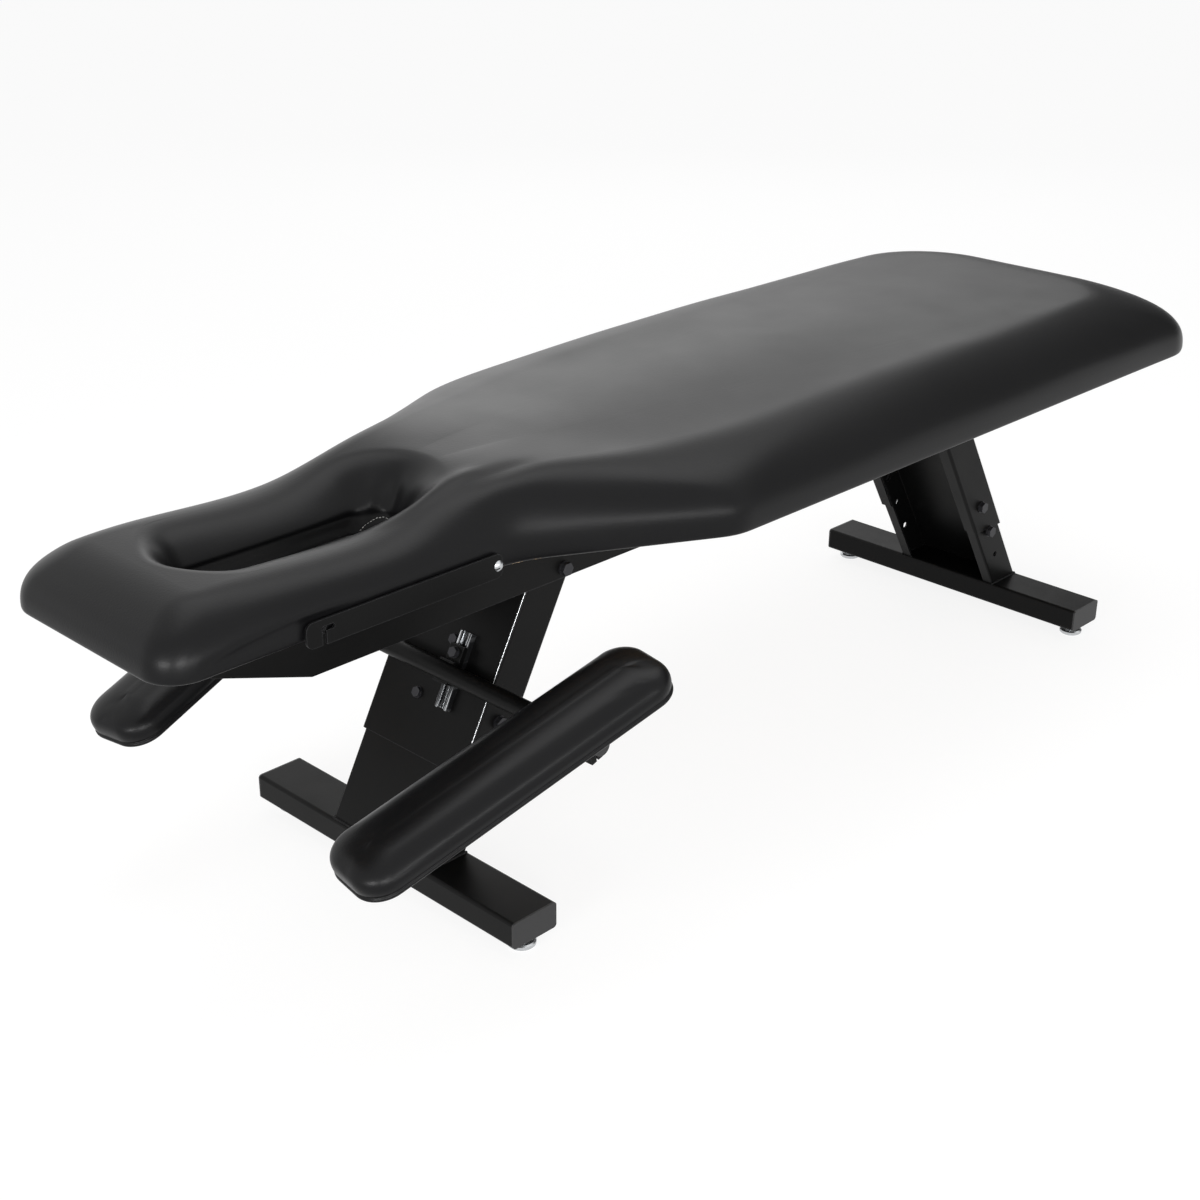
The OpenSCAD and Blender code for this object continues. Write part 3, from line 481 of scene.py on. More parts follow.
# The thickness of a pad's board over its deck, and of its cover; where its straight side ends
PAD_BOARD, PAD_CLOTH, PAD_SIDE = 12 * MM, 1.2 * MM, 16 * MM
# From the tube's axis to a pad's swivel, before the tilt
PAD_FROM_TUBE = (-36 * MM, 0, 20.2 * MM)


def pad_outline(s, d):
    """A pad's outline in its own frame, drawn in by d."""
    x0, x1 = s.pad_back - s.pad_length + d, s.pad_back - d
    y = s.pad_width / 2 - d
    # The corners stay round further up, so that the ends are soft
    r = min(y - MM, s.pad_corner - 0.2 * d)
    half = np.vstack([
        line((x0, 0), (x0, y - r), 2),
        arc(x0 + r, y - r, r, 180, 90, 16), line((x0 + r, y), (x1 - r, y), 34),
        arc(x1 - r, y - r, r, 90, 0, 16)])
    return np.vstack([half, half[::-1] * [1, -1]])


def pad_rows(s):
    """Loops of a pad from the middle of its underside, round the lip and the groove, to its top."""
    gap = -0.3 * MM
    low = [(30, PAD_BOARD), (COVER / MM, PAD_BOARD), (COVER / MM, gap), (15, gap),
           (15.6, gap - PAD_CLOTH / 2), (15, gap - PAD_CLOTH), (6, gap - PAD_CLOTH), (3, -PAD_CLOTH),
           (1.2, -0.2 * MM), (0.2, 1.4 * MM), (0, 3 * MM), (0.3, 4.6 * MM), (1.7, 5.9 * MM),
           (1.9, 6.6 * MM), (1.3, 7.8 * MM), (0.5, 10 * MM), (0.1, 14 * MM)]
    rows, top = [(d * MM, z) for d, z in low], s.pad_height - MM
    # A squarish curve, so that the top stays flat and the shoulder is tight
    for turn in np.radians([0, 5, 11, 18, 26, 34, 42, 50, 58, 66, 74, 82, 87, 90]):
        inset, rise = max(math.cos(turn), 0) ** 0.8, math.sin(turn) ** 0.8
        rows.append((s.roll * (1 - inset), PAD_SIDE + (top - PAD_SIDE) * rise))
    return rows + [(s.roll + d * MM, top + lift * MM)
                   for d, lift in ((1.5, 0.1), (3, 0.2), (4.5, 0.3), (5.5, 0.35))]


def pad_mesh(s, name, side):
    """A pad turned to its place: side is -1 near and 1 far."""
    hub_low, hub_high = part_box("hub_near" if side < 0 else "hub_far")
    tube_low, tube_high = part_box("armrest_tube")
    tube = (tube_low + tube_high) / 2
    loops = [at_height(pad_outline(s, d), z) for d, z in pad_rows(s)]
    n = len(loops[0])
    faces = [f for f in ring_faces(len(loops), n) if max(f) - min(f) < 2 * n]
    # The underside and the top are closed by quads across
    for start in (0, (len(loops) - 1) * n):
        faces += [(start + i, start + i + 1, start + n - 2 - i, start + n - 1 - i) for i in range(n // 2 - 1)]
    turn = (Matrix.Translation((tube.x, (hub_low.y + hub_high.y) / 2, tube.z))
            @ Matrix.Rotation(-s.tilt, 4, "Y") @ Matrix.Translation(PAD_FROM_TUBE)
            @ Matrix.Rotation(side * s.toe, 4, "Z"))
    made = mesh_object(name, np.vstack(loops), faces)
    made.data.transform(turn)
    return made


# Geometry Nodes

def add_node(tree, kind, inputs=(), **settings):
    """Adds a node and sets it. Its inputs are values, sockets, or nodes, which give their first output."""
    made = tree.nodes.new(kind)
    for key, value in settings.items():
        setattr(made, key, value)
    for key, value in dict(inputs).items():
        if isinstance(value, bpy.types.Node):
            value = value.outputs[0]
        if isinstance(value, bpy.types.NodeSocket):
            tree.links.new(value, made.inputs[key])
        else:
            made.inputs[key].default_value = value
    return made


def new_geometry_tree(name, sizes):
    """An empty tree with a geometry input, named sizes and a material, and its input node."""
    tree = bpy.data.node_groups.new(name, "GeometryNodeTree")
    tree.interface.new_socket("Geometry", in_out="INPUT", socket_type="NodeSocketGeometry")
    for title, kind in sizes.items():
        tree.interface.new_socket(title, in_out="INPUT", socket_type=f"NodeSocket{kind}")
    tree.interface.new_socket("Material", in_out="INPUT", socket_type="NodeSocketMaterial")
    tree.interface.new_socket("Geometry", in_out="OUTPUT", socket_type="NodeSocketGeometry")
    return tree, add_node(tree, "NodeGroupInput").outputs


def close_geometry_tree(tree, instances, given):
    """Ends a tree in Realize Instances and Set Material."""
    whole = add_node(tree, "GeometryNodeRealizeInstances", {"Geometry": instances})
    coated = add_node(tree, "GeometryNodeSetMaterial", {"Geometry": whole, "Material": given["Material"]})
    add_node(tree, "NodeGroupOutput", {"Geometry": coated})


def bead_row_tree(name):
    """Rounded beads set along curves: a stitch, a staple's crown or a weld's ripple."""
    tree, given = new_geometry_tree(
        name, {"Spacing": "Float", "Bead size": "Vector", "Variation": "Float", "Seed": "Int"})
    spaced = add_node(tree, "GeometryNodeResampleCurve",
                      {"Curve": given["Geometry"], "Length": given["Spacing"]}, mode="LENGTH")
    tangent = add_node(tree, "GeometryNodeInputTangent")
    normal = add_node(tree, "GeometryNodeInputNormal")
    flat = add_node(tree, "FunctionNodeAlignRotationToVector", {"Vector": tangent}, axis="X")
    turned = add_node(tree, "FunctionNodeAlignRotationToVector", {"Rotation": flat, "Vector": normal},
                      axis="Z", pivot_axis="X")
    bead = add_node(tree, "GeometryNodeMeshUVSphere", {"Segments": 10, "Rings": 6, "Radius": 1.0})
    shaped = add_node(tree, "GeometryNodeTransform",
                      {"Geometry": bead.outputs["Mesh"], "Scale": given["Bead size"]})
    smooth = add_node(tree, "GeometryNodeSetShadeSmooth", {"Geometry": shaped})
    low = add_node(tree, "ShaderNodeMath", {0: 1, 1: given["Variation"]}, operation="SUBTRACT")
    high = add_node(tree, "ShaderNodeMath", {0: 1, 1: given["Variation"]}, operation="ADD")
    chance = add_node(tree, "FunctionNodeRandomValue", {2: low, 3: high, "Seed": given["Seed"]},
                      data_type="FLOAT")
    row = add_node(tree, "GeometryNodeInstanceOnPoints", {
        "Points": spaced, "Instance": smooth, "Rotation": turned, "Scale": chance.outputs[1]})
    close_geometry_tree(tree, row, given)
    return tree


def thread_tree(name):
    """Ridges of a thread stacked up a stud, from its foot."""
    tree, given = new_geometry_tree(
        name, {"Stud radius": "Float", "Ridge": "Float", "Pitch": "Float", "Count": "Int"})
    climb = add_node(tree, "ShaderNodeCombineXYZ", {"Z": given["Pitch"]})
    stack = add_node(tree, "GeometryNodeMeshLine", {"Count": given["Count"], "Offset": climb}, mode="OFFSET")
    hoop = add_node(tree, "GeometryNodeCurvePrimitiveCircle",
                    {"Resolution": 32, "Radius": given["Stud radius"]})
    section = add_node(tree, "GeometryNodeCurvePrimitiveCircle", {"Resolution": 6, "Radius": given["Ridge"]})
    ridge = add_node(tree, "GeometryNodeCurveToMesh", {"Curve": hoop, "Profile Curve": section})
    smooth = add_node(tree, "GeometryNodeSetShadeSmooth", {"Geometry": ridge})
    feet = add_node(tree, "GeometryNodeInstanceOnPoints", {"Points": given["Geometry"], "Instance": stack})
    points = add_node(tree, "GeometryNodeRealizeInstances", {"Geometry": feet})
    rows = add_node(tree, "GeometryNodeInstanceOnPoints", {"Points": points, "Instance": smooth})
    close_geometry_tree(tree, rows, given)
    return tree


def run_tree(name, source, tree, values):
    """Runs a tree on a source object and returns its result as a plain mesh object at the origin."""
    nodes = source.modifiers.new(name, "NODES")
    nodes.node_group = tree
    for item in tree.interface.items_tree:
        if item.item_type == "SOCKET" and item.in_out == "INPUT" and item.name in values:
            nodes[item.identifier] = values[item.name]
    seen = source.evaluated_get(bpy.context.evaluated_depsgraph_get())
    mesh = bpy.data.meshes.new_from_object(seen)
    if not len(mesh.vertices):
        raise RuntimeError(f"{name} came out empty")
    mesh.name = name
    source.modifiers.remove(nodes)
    bpy.data.objects.remove(source)
    return new_object(name, mesh)


def path_object(name, paths, closed=False):
    """A curve object of straight-sided paths that lean their normals upwards."""
    data = bpy.data.curves.new(name, "CURVE")
    data.dimensions = "3D"
    data.twist_mode = "Z_UP"
    for path in paths:
        spline = data.splines.new("POLY")
        spline.points.add(len(path) - 1)
        for point, place in zip(spline.points, path):
            point.co = (*place, 1)
        spline.use_cyclic_u = closed
    return new_object(name, data)


def bead_row(name, kind, paths, spacing, size, variation, coating, closed=False):
    """A piece made of beads of one kind, set along paths."""
    values = {"Spacing": spacing, "Bead size": size, "Variation": variation,
              "Seed": bpy.context.scene.table_trim.seed, "Material": finish(coating)}
    return run_tree(name, path_object(f"{kind}_path", paths, closed), bead_row_tree(f"{kind} row"), values)


# Finishes

def shade(base, factor=1):
    """A colour made lighter or darker, with its alpha."""
    return (*(min(c * factor, 1) for c in base), 1)


def new_finish(name, base):
    """A material, its empty tree and its object coordinates."""
    made = bpy.data.materials.new(name)
    made.use_nodes = True
    made.diffuse_color = shade(base)
    tree = made.node_tree
    tree.nodes.clear()
    return made, tree, add_node(tree, "ShaderNodeTexCoord").outputs["Object"]


def close_finish(made, inputs):
    """Ends a material's tree in its shader and its output."""
    shader = add_node(made.node_tree, "ShaderNodeBsdfPrincipled", inputs)
    add_node(made.node_tree, "ShaderNodeOutputMaterial", {"Surface": shader})
    return made


def vinyl_upholstery(name, s):
    # Calendered expanded vinyl, embossed with a fine leather grain: a soft broad highlight, broken up
    # by the grain, over a near-black body. The real grain is about 1 mm and is drawn at s.grain.
    made, tree, place = new_finish(name, s.vinyl)
    cells = add_node(tree, "ShaderNodeTexVoronoi", {
        "Vector": place, "Scale": 1 / s.grain, "Randomness": 0.9}, feature="SMOOTH_F1")
    cloud = add_node(tree, "ShaderNodeTexNoise", {"Vector": place, "Scale": 1 / (90 * MM), "Detail": 3})
    tint = add_node(tree, "ShaderNodeMix", {
        0: cloud, 6: shade(s.vinyl, 0.88), 7: shade(s.vinyl, 1.12)}, data_type="RGBA")
    rough = add_node(tree, "ShaderNodeMapRange", {"Value": cloud, "To Min": 0.3, "To Max": 0.38})
    bump = add_node(tree, "ShaderNodeBump", {"Height": cells, "Strength": 0.3, "Distance": 0.3 * MM})
    return close_finish(made, {"Base Color": tint.outputs[2], "Roughness": rough,
                               "Specular IOR Level": 0.14, "Normal": bump})


def powder_coat(name, s):
    # Polyester powder coat, baked on steel: a satin black film with faint orange peel of 2 to 4 mm,
    # thinned at the sheet's edges and painted lighter there, partly as worn coat and partly as a painted
    # highlight along each edge. The bars' coat is a little glossier.
    base, roughness = (s.bar, 0.34) if name == "satin_bar_paint" else (s.powder, 0.4)
    made, tree, place = new_finish(name, base)
    rounded = add_node(tree, "ShaderNodeBevel", {"Radius": 1.4 * MM}, samples=4)
    sharp = add_node(tree, "ShaderNodeNewGeometry").outputs["Normal"]
    same = add_node(tree, "ShaderNodeVectorMath", {0: rounded, 1: sharp}, operation="DOT_PRODUCT")
    # Edges, found where the rounded normal leaves the sharp one, get a lighter grey: worn coat and painted
    # highlight
    worn_and_highlit_edges = add_node(tree, "ShaderNodeMapRange", {
        "Value": same.outputs["Value"], "From Min": 0.97, "From Max": 0.8, "To Max": 0.5})
    tint = add_node(tree, "ShaderNodeMix", {
        0: worn_and_highlit_edges, 6: shade(base), 7: shade(hex_colour("#4A4A4C"))}, data_type="RGBA")
    cloud = add_node(tree, "ShaderNodeTexNoise", {"Vector": place, "Scale": 1 / (60 * MM), "Detail": 4})
    rough = add_node(tree, "ShaderNodeMapRange", {
        "Value": cloud, "To Min": roughness - 0.06, "To Max": roughness + 0.08})
    peel = add_node(tree, "ShaderNodeTexNoise", {"Vector": place, "Scale": 1 / (3 * MM), "Detail": 1})
    bump = add_node(tree, "ShaderNodeBump", {"Height": peel, "Strength": 0.12, "Distance": 0.3 * MM})
    return close_finish(made, {"Base Color": tint.outputs[2], "Roughness": rough,
                               "Specular IOR Level": 0.1, "Normal": bump})


def black_oxide(name, s):
    # Blackened steel bolts with a trace of oil: dark metal, a tight dull highlight on each hexagon.
    made, tree, place = new_finish(name, s.oxide)
    scuffs = add_node(tree, "ShaderNodeTexNoise", {"Vector": place, "Scale": 1 / (4 * MM), "Detail": 3})
    tint = add_node(tree, "ShaderNodeMix", {
        0: scuffs, 6: shade(s.oxide, 0.8), 7: shade(s.oxide, 1.3)}, data_type="RGBA")
    rough = add_node(tree, "ShaderNodeMapRange", {"Value": scuffs, "To Min": 0.3, "To Max": 0.5})
    return close_finish(made, {"Base Color": tint.outputs[2], "Roughness": rough, "Metallic": 0.6})


def zinc_plate(name, s):
    # Bright zinc electroplate on turned steel: clear reflections, slightly clouded, with fine turning lines
    # 0.8 mm apart, drawn coarser than the real 0.2 mm so that they show. A wave's lines come 20 times finer
    # than its scale.
    made, tree, place = new_finish(name, s.zinc)
    lines = add_node(tree, "ShaderNodeTexWave", {
        "Vector": place, "Scale": 1 / (20 * 0.8 * MM), "Distortion": 1.5, "Detail": 2}, bands_direction="Z")
    cloud = add_node(tree, "ShaderNodeTexNoise", {"Vector": place, "Scale": 1 / (6 * MM), "Detail": 3})
    tint = add_node(tree, "ShaderNodeMix", {
        0: cloud, 6: shade(s.zinc, 0.82), 7: shade(s.zinc, 1.05)}, data_type="RGBA")
    rough = add_node(tree, "ShaderNodeMapRange", {"Value": cloud, "To Min": 0.16, "To Max": 0.36})
    bump = add_node(tree, "ShaderNodeBump", {
        "Height": lines.outputs["Fac"], "Strength": 0.08, "Distance": 0.1 * MM})
    return close_finish(made, {"Base Color": tint.outputs[2], "Roughness": rough, "Metallic": 1,
                               "Normal": bump})


def worn_track(name, s):
    # Zinc-plated track gone dark with grease and rubbed bright in streaks where the slider runs: dark metal,
    # streaked along its length by stretched noise 2 mm across.
    made, tree, place = new_finish(name, s.track)
    drawn = add_node(tree, "ShaderNodeMapping", {"Vector": place, "Scale": (8, 500, 20)})
    streaks = add_node(tree, "ShaderNodeTexNoise", {"Vector": drawn, "Scale": 1, "Detail": 4})
    rubbed = add_node(tree, "ShaderNodeMapRange", {"Value": streaks, "From Min": 0.5, "From Max": 0.62})
    tint = add_node(tree, "ShaderNodeMix", {
        0: rubbed, 6: shade(s.track, 0.7), 7: shade(s.zinc)}, data_type="RGBA")
    rough = add_node(tree, "ShaderNodeMapRange", {"Value": rubbed, "To Min": 0.5, "To Max": 0.25})
    return close_finish(made, {"Base Color": tint.outputs[2], "Roughness": rough, "Metallic": 0.9})


def moulded_plastic(name, s):
    # Injection-moulded polyethylene with a fine spark-eroded texture: dull, slightly waxy black.
    made, tree, place = new_finish(name, s.plastic)
    sparks = add_node(tree, "ShaderNodeTexNoise", {"Vector": place, "Scale": 1 / (1.2 * MM), "Detail": 2})
    bump = add_node(tree, "ShaderNodeBump", {"Height": sparks, "Strength": 0.2, "Distance": 0.15 * MM})
    return close_finish(made, {"Base Color": shade(s.plastic), "Roughness": 0.5, "Normal": bump})


def birch_plywood(name, s):
    # Rotary-cut birch plywood: long wavy grain on the faces, and plies of 1.5 mm, light and dark in turn, on
    # the edges. The edges are told from the faces by the normal's slope.
    made, tree, place = new_finish(name, s.birch)
    drawn = add_node(tree, "ShaderNodeMapping", {"Vector": place, "Scale": (2.2, 30, 30)})
    grain = add_node(tree, "ShaderNodeTexNoise", {
        "Vector": drawn, "Scale": 3, "Detail": 6, "Distortion": 0.6})
    face = add_node(tree, "ShaderNodeMix", {
        0: grain, 6: shade(s.birch, 0.74), 7: shade(s.birch, 1.15)}, data_type="RGBA")
    height = add_node(tree, "ShaderNodeSeparateXYZ", {0: place}).outputs["Z"]
    plies = add_node(tree, "ShaderNodeMath", {0: height, 1: 3 * MM}, operation="PINGPONG")
    stripe = add_node(tree, "ShaderNodeMath", {0: plies, 1: 1.5 * MM}, operation="GREATER_THAN")
    edge = add_node(tree, "ShaderNodeMix", {
        0: stripe, 6: shade(s.birch, 0.45), 7: shade(s.birch, 0.95)}, data_type="RGBA")
    normal = add_node(tree, "ShaderNodeTexCoord").outputs["Normal"]
    slope = add_node(tree, "ShaderNodeSeparateXYZ", {0: normal}).outputs["Z"]
    level = add_node(tree, "ShaderNodeMath", {0: slope}, operation="ABSOLUTE")
    flat = add_node(tree, "ShaderNodeMath", {0: level, 1: 0.6}, operation="GREATER_THAN")
    tint = add_node(tree, "ShaderNodeMix", {
        0: flat, 6: edge.outputs[2], 7: face.outputs[2]}, data_type="RGBA")
    bump = add_node(tree, "ShaderNodeBump", {"Height": grain, "Strength": 0.15, "Distance": 0.3 * MM})
    return close_finish(made, {"Base Color": tint.outputs[2], "Roughness": 0.6, "Normal": bump})


def polyester_thread(name, s):
    # Bonded polyester thread: pale, slightly glossy strands 0.9 mm apart, with painted shade in the
    # diagonal grooves between the strands.
    made, tree, place = new_finish(name, s.thread)
    twist_shade = add_node(tree, "ShaderNodeTexWave", {
        "Vector": place, "Scale": 1 / (20 * 0.9 * MM), "Distortion": 0.5}, bands_direction="DIAGONAL")
    tint = add_node(tree, "ShaderNodeMix", {
        0: twist_shade.outputs["Fac"], 6: shade(s.thread, 0.6), 7: shade(s.thread)}, data_type="RGBA")
    return close_finish(made, {"Base Color": tint.outputs[2], "Roughness": 0.5})


FINISHES = {"embossed_upholstery_vinyl": vinyl_upholstery, "satin_powder_coat": powder_coat,
            "satin_bar_paint": powder_coat, "black_oxide_steel": black_oxide,
            "bright_zinc_plate": zinc_plate, "worn_greased_track": worn_track,
            "moulded_polyethylene": moulded_plastic, "birch_plywood": birch_plywood,
            "bonded_polyester_thread": polyester_thread}


def finish(name):
    """A finish by its name, made once."""
    return bpy.data.materials.get(name) or FINISHES[name](name, bpy.context.scene.table_finishes)


def coat(obj, name):
    """Gives an object one finish all over."""
    obj.data.materials.clear()
    obj.data.materials.append(finish(name))


# Operators

class TABLE_OT_cushion(bpy.types.Operator):
    """Makes the one-piece cushion with its face slot, crease and hem"""
    bl_idname = "chiro_table.cushion"
    bl_label = "Make the cushion"

    def execute(self, context):
        s = context.scene.table_cushion
        rows = cushion_loops(s)
        made = mesh_object("cushion_cover", np.vstack(rows), ring_faces(len(rows), len(rows[0])))
        slacken(made, size=160 * MM, depth=1.2 * MM, least_z=CUSHION_LOW.z + 30 * MM)
        press_folds(made, FOLDS)
        finish_shape(made)
        coat(made, "embossed_upholstery_vinyl")
        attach(made, "frame")
        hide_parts("cushion")
        return {"FINISHED"}


class TABLE_OT_pads(bpy.types.Operator):
    """Makes the two armrest pads"""
    bl_idname = "chiro_table.pads"
    bl_label = "Make the armrest pads"

    def execute(self, context):
        s = context.scene.table_pads
        for name, side in (("near", -1), ("far", 1)):
            made = pad_mesh(s, f"armrest_cover_{name}", side)
            stuff(made, PAD_HELD_ROWS * len(pad_outline(s, 0)), s.swell)
            finish_shape(made)
            coat(made, "embossed_upholstery_vinyl")
            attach(made, f"armrest_{name}")
            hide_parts(f"armrest_pad_{name}")
        return {"FINISHED"}


class TABLE_OT_staples(bpy.types.Operator):
    """Staples the turned-under cover to the board, along its hem and round the slot"""
    bl_idname = "chiro_table.staples"
    bl_label = "Staple the hem"

    def execute(self, context):
        s, trim = context.scene.table_cushion, context.scene.table_trim
        z = CUSHION_LOW.z - 1.6 * MM
        paths = [at_height(outline(s, 18 * MM), z), at_height(slot_loop(s, 9 * MM), z)]
        made = bead_row("hem_staples", "staple", paths, trim.staple_spacing, (5 * MM, 0.7 * MM, 0.35 * MM),
                        0.05, "bright_zinc_plate", closed=True)
        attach(made, "frame")
        return {"FINISHED"}


class TABLE_OT_stitches(bpy.types.Operator):
    """Sews the arched seam low in the slot's foot end"""
    bl_idname = "chiro_table.stitches"
    bl_label = "Sew the slot's seam"

    def execute(self, context):
        trim = context.scene.table_trim
        cover = bpy.data.objects["cushion_cover"]
        path = []
        for place in SEAM:
            _, near, way, _ = cover.closest_point_on_mesh(Vector(place) * MM)
            path.append(near + way * 0.3 * MM)
        made = bead_row("slot_stitches", "stitch", [path], trim.stitch_spacing,
                        (1.7 * MM, 0.6 * MM, 0.6 * MM), 0.06, "bonded_polyester_thread")
        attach(made, "frame")
        return {"FINISHED"}


class TABLE_OT_welds(bpy.types.Operator):
    """Runs a rippled weld round the foot of each leg, where it stands on its beam"""
    bl_idname = "chiro_table.welds"
    bl_label = "Weld the legs"

    def execute(self, context):
        trim = context.scene.table_trim
        for end in ("front", "rear"):
            places = vertex_values(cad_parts[f"{end}_leg_inner"].data, "co")
            foot = places[places[:, 2] < places[:, 2].min() + 0.5 * MM]
            (x0, y0, z), (x1, y1, _) = foot.min(axis=0), foot.max(axis=0)
            # The rear leg's web is on its other side
            if end == "rear":
                x0, x1 = x1, x0
            corners = [(x1, y0, z), (x0, y0, z), (x0, y1, z), (x1, y1, z)]
            made = bead_row(f"{end}_leg_weld", "weld", [corners], trim.weld_spacing,
                            (trim.weld_size, trim.weld_size, trim.weld_size * 0.8), 0.12,
                            "satin_powder_coat")
            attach(made, f"{end}_foot")
        return {"FINISHED"}


class TABLE_OT_corner_highlight(bpy.types.Operator):
    """Lays a thin bright zinc strip down the near corner of the front leg, a painted highlight on its bend"""
    bl_idname = "chiro_table.wear"
    bl_label = "Rub the leg's corner"

    def execute(self, context):
        places = vertex_values(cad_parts["front_leg_outer"].data, "co")
        flange = places[places[:, 1] < places[:, 1].min() + 0.3 * MM]
        ends = []
        for level in (flange[:, 2].min(), flange[:, 2].max()):
            row = flange[np.abs(flange[:, 2] - level) < 2 * MM]
            ends.append(row[row[:, 0].argmin()] + np.array([-3.4, 1.6, 0]) * MM)
        # A thin bright strip on the bend between web and flange: a painted highlight
        made = bead_row("front_leg_corner", "corner", [ends], 3 * MM, (4 * MM, 0.6 * MM, 0.6 * MM), 0,
                        "bright_zinc_plate")
        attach(made, "frame")
        return {"FINISHED"}


class TABLE_OT_threads(bpy.types.Operator):
    """Cuts the thread's ridges on the four levelling studs"""
    bl_idname = "chiro_table.threads"
    bl_label = "Thread the studs"

    def execute(self, context):
        trim = context.scene.table_trim
        tree = thread_tree("stud thread")
        for corner in CORNERS:
            low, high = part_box(f"stud_{corner}")
            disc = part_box(f"glide_{corner}")[1].z
            middle = (low + high) / 2
            foot = mesh_object("stud_foot", [(middle.x, middle.y, disc + MM)], [], closed=False)
            made = run_tree(f"stud_thread_{corner}", foot, tree, {
                "Stud radius": (high.x - low.x) / 2 - 0.1 * MM, "Ridge": 0.3 * MM,
                "Pitch": trim.thread_pitch, "Count": int((high.z - 2 * MM - disc) / trim.thread_pitch),
                "Material": finish("bright_zinc_plate")})
            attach(made, f"leveller_{corner}")
        return {"FINISHED"}


class TABLE_OT_finishes(bpy.types.Operator):
    """Gives each of the frame's solids its finish"""
    bl_idname = "chiro_table.finishes"
    bl_label = "Finish the frame"

    def execute(self, context):
        groups = {
            "satin_powder_coat": [
                "side_plate_near", "side_plate_far", "cross_members", "armrest_tube", "armrest_carriage",
                "hub_near", "hub_far", *[
                    f"{end}_{part}" for end in ("front", "rear")
                    for part in ("leg_outer", "leg_inner", "saddle", "foot_beam")]],
            "satin_bar_paint": ["paper_bar_near", "paper_bar_far", "paper_bar_pins"],
            "worn_greased_track": ["armrest_track"],
            "black_oxide_steel": [
                "saddle_bolts", "front_height_bolts", "rear_height_bolts", "web_bolts", "carriage_bolt",
                "hub_bolt_near", "hub_bolt_far", "swivel_bolt_near", "swivel_bolt_far"],
            "bright_zinc_plate": [
                "paper_bar_screws", "board_screws", "front_foot_nuts", "rear_foot_nuts",
                *[f"{kind}_{corner}" for kind in ("glide", "stud") for corner in CORNERS]],
            "moulded_polyethylene": ["front_foot_caps", "rear_foot_caps", "tube_plugs"],
            "birch_plywood": ["base_board", "armrest_board_near", "armrest_board_far"],
            "embossed_upholstery_vinyl": ["cushion", "armrest_pad_near", "armrest_pad_far"],
        }
        for name, nodes in groups.items():
            for node in nodes:
                coat(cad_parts[node], name)
        left = set(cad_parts) - {n for nodes in groups.values() for n in nodes}
        if left:
            raise RuntimeError(f"no finish for {sorted(left)}")
        return {"FINISHED"}


WHITE = (1, 1, 1, 1)
FLOOR_HALF = 12
# What part of the floor is seen as glow rather than as paint, and how bright the glow is
FLOOR_GLOW, GLOW_LEVEL = 0.8, 1.07
# Where the mirrored surroundings start to darken and are dark, by the direction's share of +X
DARK_START, DARK_END = 0.6, 0.9
# Each lamp's place, what it is aimed at, its width and its height; its power is the setting of its name
LAMPS = {
    "overhead": ((0.3, 0.4, 3.0), (0.1, 0, 0.5), 3.0, 1.6),
    "behind": ((3.3, 2.7, 1.9), (0.2, 0, 0.5), 3.0, 1.0),
    "near_side": ((-1.6, -3.9, 0.9), (-0.4, -0.3, 0.5), 4.2, 0.6),
    "head_side": ((-4.2, -1.3, 1.1), (-0.9, 0, 0.5), 1.6, 0.5),
    "front": ((-2.5, -2.8, 1.25), (-0.5, -0.1, 0.4), 0.9, 0.6),
}
SENSOR_WIDTH, CLIP_END = 36, 100


def seen_rays(tree):
    """1 for rays from the camera, off a gloss or through glass; and the camera's rays alone."""
    rays = add_node(tree, "ShaderNodeLightPath").outputs
    shown = add_node(tree, "ShaderNodeMath", {0: rays["Is Camera Ray"], 1: rays["Is Glossy Ray"]},
                     operation="MAXIMUM")
    seen = add_node(tree, "ShaderNodeMath", {0: shown, 1: rays["Is Transmission Ray"]}, operation="MAXIMUM")
    return seen, rays["Is Camera Ray"]


